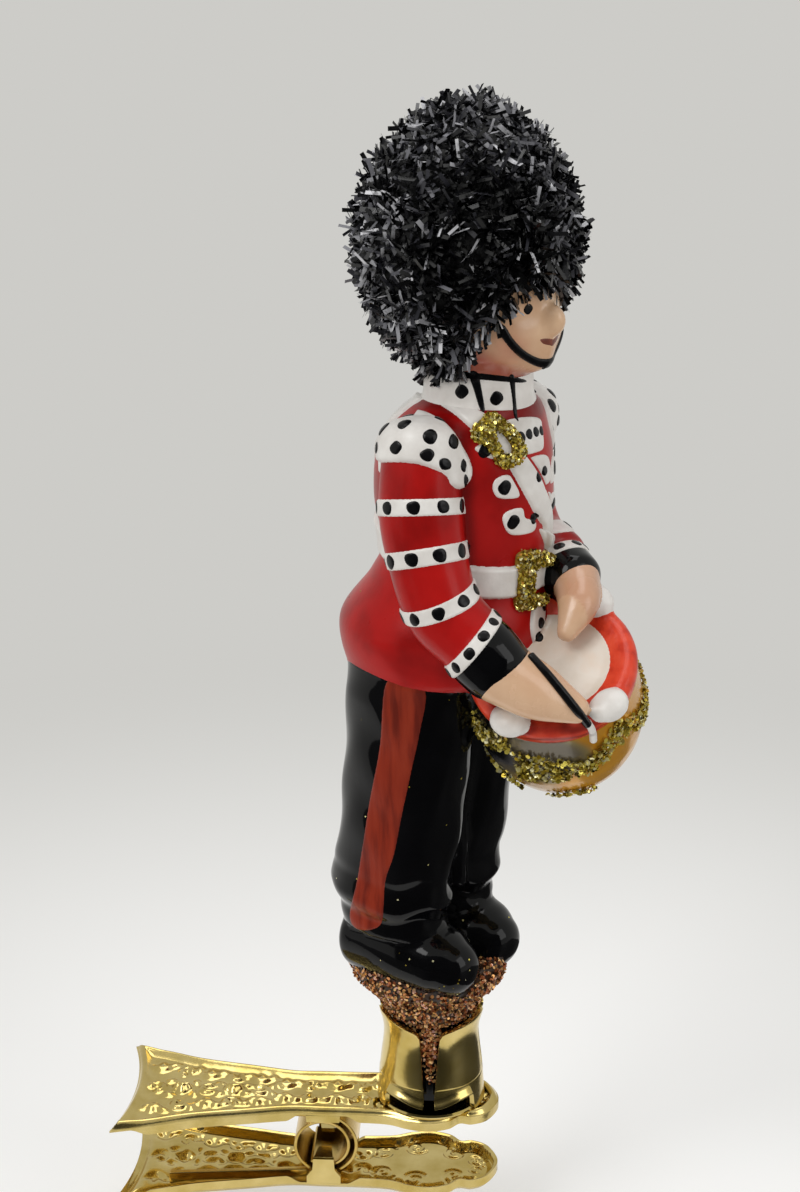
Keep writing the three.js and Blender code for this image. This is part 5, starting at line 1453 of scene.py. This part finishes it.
# Stage: a pale floor that greys with distance, soft lamps and the camera, in metres.
FLOOR_RADIUS, FLOOR_LEVEL, FLOOR_CORNERS = 6, -0.0125, 96
FLOOR_NEAR, FLOOR_FAR, FLOOR_GLOW = (0.84, 0.84, 0.83, 1), (0.6, 0.6, 0.58, 1), 0.17
WALL_COLOUR, ROOM_COLOUR, ROOM_LIGHT = (0.61, 0.604, 0.578, 1), (0.6, 0.6, 0.575, 1), (1.0, 0.99, 0.97, 1)


def combine(tree, operation, one, two):
    """Result of a sum on a socket and another, or a number."""
    made = new_node(tree, "Math")
    made.operation = operation
    tree.links.new(one, made.inputs[0])
    if isinstance(two, float):
        made.inputs[1].default_value = two
    else:
        tree.links.new(two, made.inputs[1])
    return made.outputs["Value"]


def between(tree, value, low, high):
    """Share of the way from low to high that a socket's value is, eased at both ends."""
    span = new_node(tree, "MapRange", From_Min=low, From_Max=high)
    span.interpolation_type = "SMOOTHSTEP"
    tree.links.new(value, span.inputs["Value"])
    return span.outputs["Result"]


def seen_rays(tree):
    """One for rays from the camera, and for those that it sees mirrored or through glass."""
    path = new_node(tree, "LightPath")
    seen = path.outputs["Is Camera Ray"]
    for ray in ("Is Glossy Ray", "Is Transmission Ray"):
        seen = combine(tree, "MAXIMUM", seen, path.outputs[ray])
    return seen


def mixed(tree, share, one, two, output):
    """Sends two shaders, mixed by a share, to an output."""
    mix = new_node(tree, "MixShader")
    for i, socket in enumerate((share, one, two)):
        tree.links.new(socket, mix.inputs[i])
    tree.links.new(mix.outputs["Shader"], tree.nodes[output].inputs["Surface"])


a = round_angles(FLOOR_CORNERS)
rim = np.stack([FLOOR_RADIUS * np.cos(a), FLOOR_RADIUS * np.sin(a), 0 * a + FLOOR_LEVEL], -1)
floor_mesh = mesh_of("floor", rim.tolist(), [list(range(FLOOR_CORNERS))])
floor = add("floor", floor_mesh)
mat, tree, shader = material_of("pale_floor")
link = tree.links.new
put(shader, Roughness=0.9, Specular_IOR_Level=0.1, Emission_Color=(1, 1, 0.99, 1))
length = new_node(tree, "VectorMath")
length.operation = "LENGTH"
link(new_node(tree, "TexCoord").outputs["Object"], length.inputs[0])
off = length.outputs["Value"]
ramp = new_node(tree, "ValToRGB")
for stop, colour in zip(ramp.color_ramp.elements, (FLOOR_NEAR, FLOOR_FAR)):
    stop.color = colour
link(between(tree, off, 0.1, 0.42), ramp.inputs["Fac"])
link(ramp.outputs["Color"], shader.inputs["Base Color"])
seen = seen_rays(tree)
link(combine(tree, "MULTIPLY", seen, FLOOR_GLOW), shader.inputs["Emission Strength"])
share = combine(tree, "MULTIPLY", between(tree, off, 0.0, 0.18), seen)
wall = new_node(tree, "Emission", Color=WALL_COLOUR)
mixed(tree, share, shader.outputs["BSDF"], wall.outputs["Emission"], "Material Output")
floor_mesh.materials.append(mat)

scene = bpy.context.scene
scene.view_settings.view_transform = "Standard"
world = bpy.data.worlds.new("studio")
scene.world = world
world.use_nodes = True
tree = world.node_tree
ground = tree.nodes["Background"]
put(ground, Color=ROOM_LIGHT, Strength=0.45)
shown = new_node(tree, "Background", Color=ROOM_COLOUR)
mixed(tree, seen_rays(tree), ground.outputs["Background"], shown.outputs["Background"], "World Output")


def lamp(name, at, size, power):
    """Soft lamp at a place, turned to the figure."""
    data = bpy.data.lights.new(name, "AREA")
    data.shape, data.size, data.size_y, data.energy = "RECTANGLE", size[0], size[1], power
    obj = add(name, data)
    obj.location = at
    obj.rotation_euler = (LIT - Vector(at)).to_track_quat("-Z", "Y").to_euler()


LIT = Vector((0, 0, 0.05))
lamp("key", (-0.75, -0.75, 1.1), (0.7, 0.7), 7.5)
lamp("fill", (0.95, -0.5, 0.7), (0.6, 0.8), 2.5)
lamp("top", (0.0, 0.25, 1.3), (0.9, 0.9), 5)

# Dark cards by the camera, standing and lying before it, met by reflections only, as painted dark
# reflections of the unlit room there.
CARD_HALF, CARD_AT, CARD_LEVEL, CARD_TOP = 0.5, -0.42, -0.012, 0.5
FRONT_EDGE, SIDE_EDGE, SIDE_BACK = -0.036, 0.03, 0.06
card_points = [
    (-CARD_HALF, CARD_AT, CARD_LEVEL), (CARD_HALF, CARD_AT, CARD_LEVEL),
    (CARD_HALF, CARD_AT, CARD_TOP), (-CARD_HALF, CARD_AT, CARD_TOP)]
for left, near, far in ((-CARD_HALF, CARD_AT, FRONT_EDGE), (SIDE_EDGE, FRONT_EDGE, SIDE_BACK)):
    for x, y in ((left, near), (CARD_HALF, near), (CARD_HALF, far), (left, far)):
        card_points.append((x, y, CARD_LEVEL))
card_mesh = mesh_of("card", card_points, [(0, 1, 2, 3), (4, 5, 6, 7), (8, 9, 10, 11)])
card = add("card", card_mesh)
card.visible_camera = card.visible_diffuse = card.visible_shadow = card.visible_transmission = False
dark, _, shader = material_of("dark_card")
put(shader, Base_Color=(0.02, 0.02, 0.02, 1))
card_mesh.materials.append(dark)

SENSOR = 36
lens = bpy.data.cameras.new("camera")
lens.sensor_fit, lens.sensor_width = "AUTO", SENSOR
lens.lens = SENSOR * FOCAL / HIGH
lens.clip_start, lens.clip_end = 0.01, 20
camera = add("camera", lens)
axes = Matrix(np.array([RIGHT, -DOWN, -AHEAD]).T.tolist()).to_4x4()
camera.matrix_world = Matrix.Translation(EYE / 1000) @ axes
scene.camera = camera

bpy.context.view_layer.update()
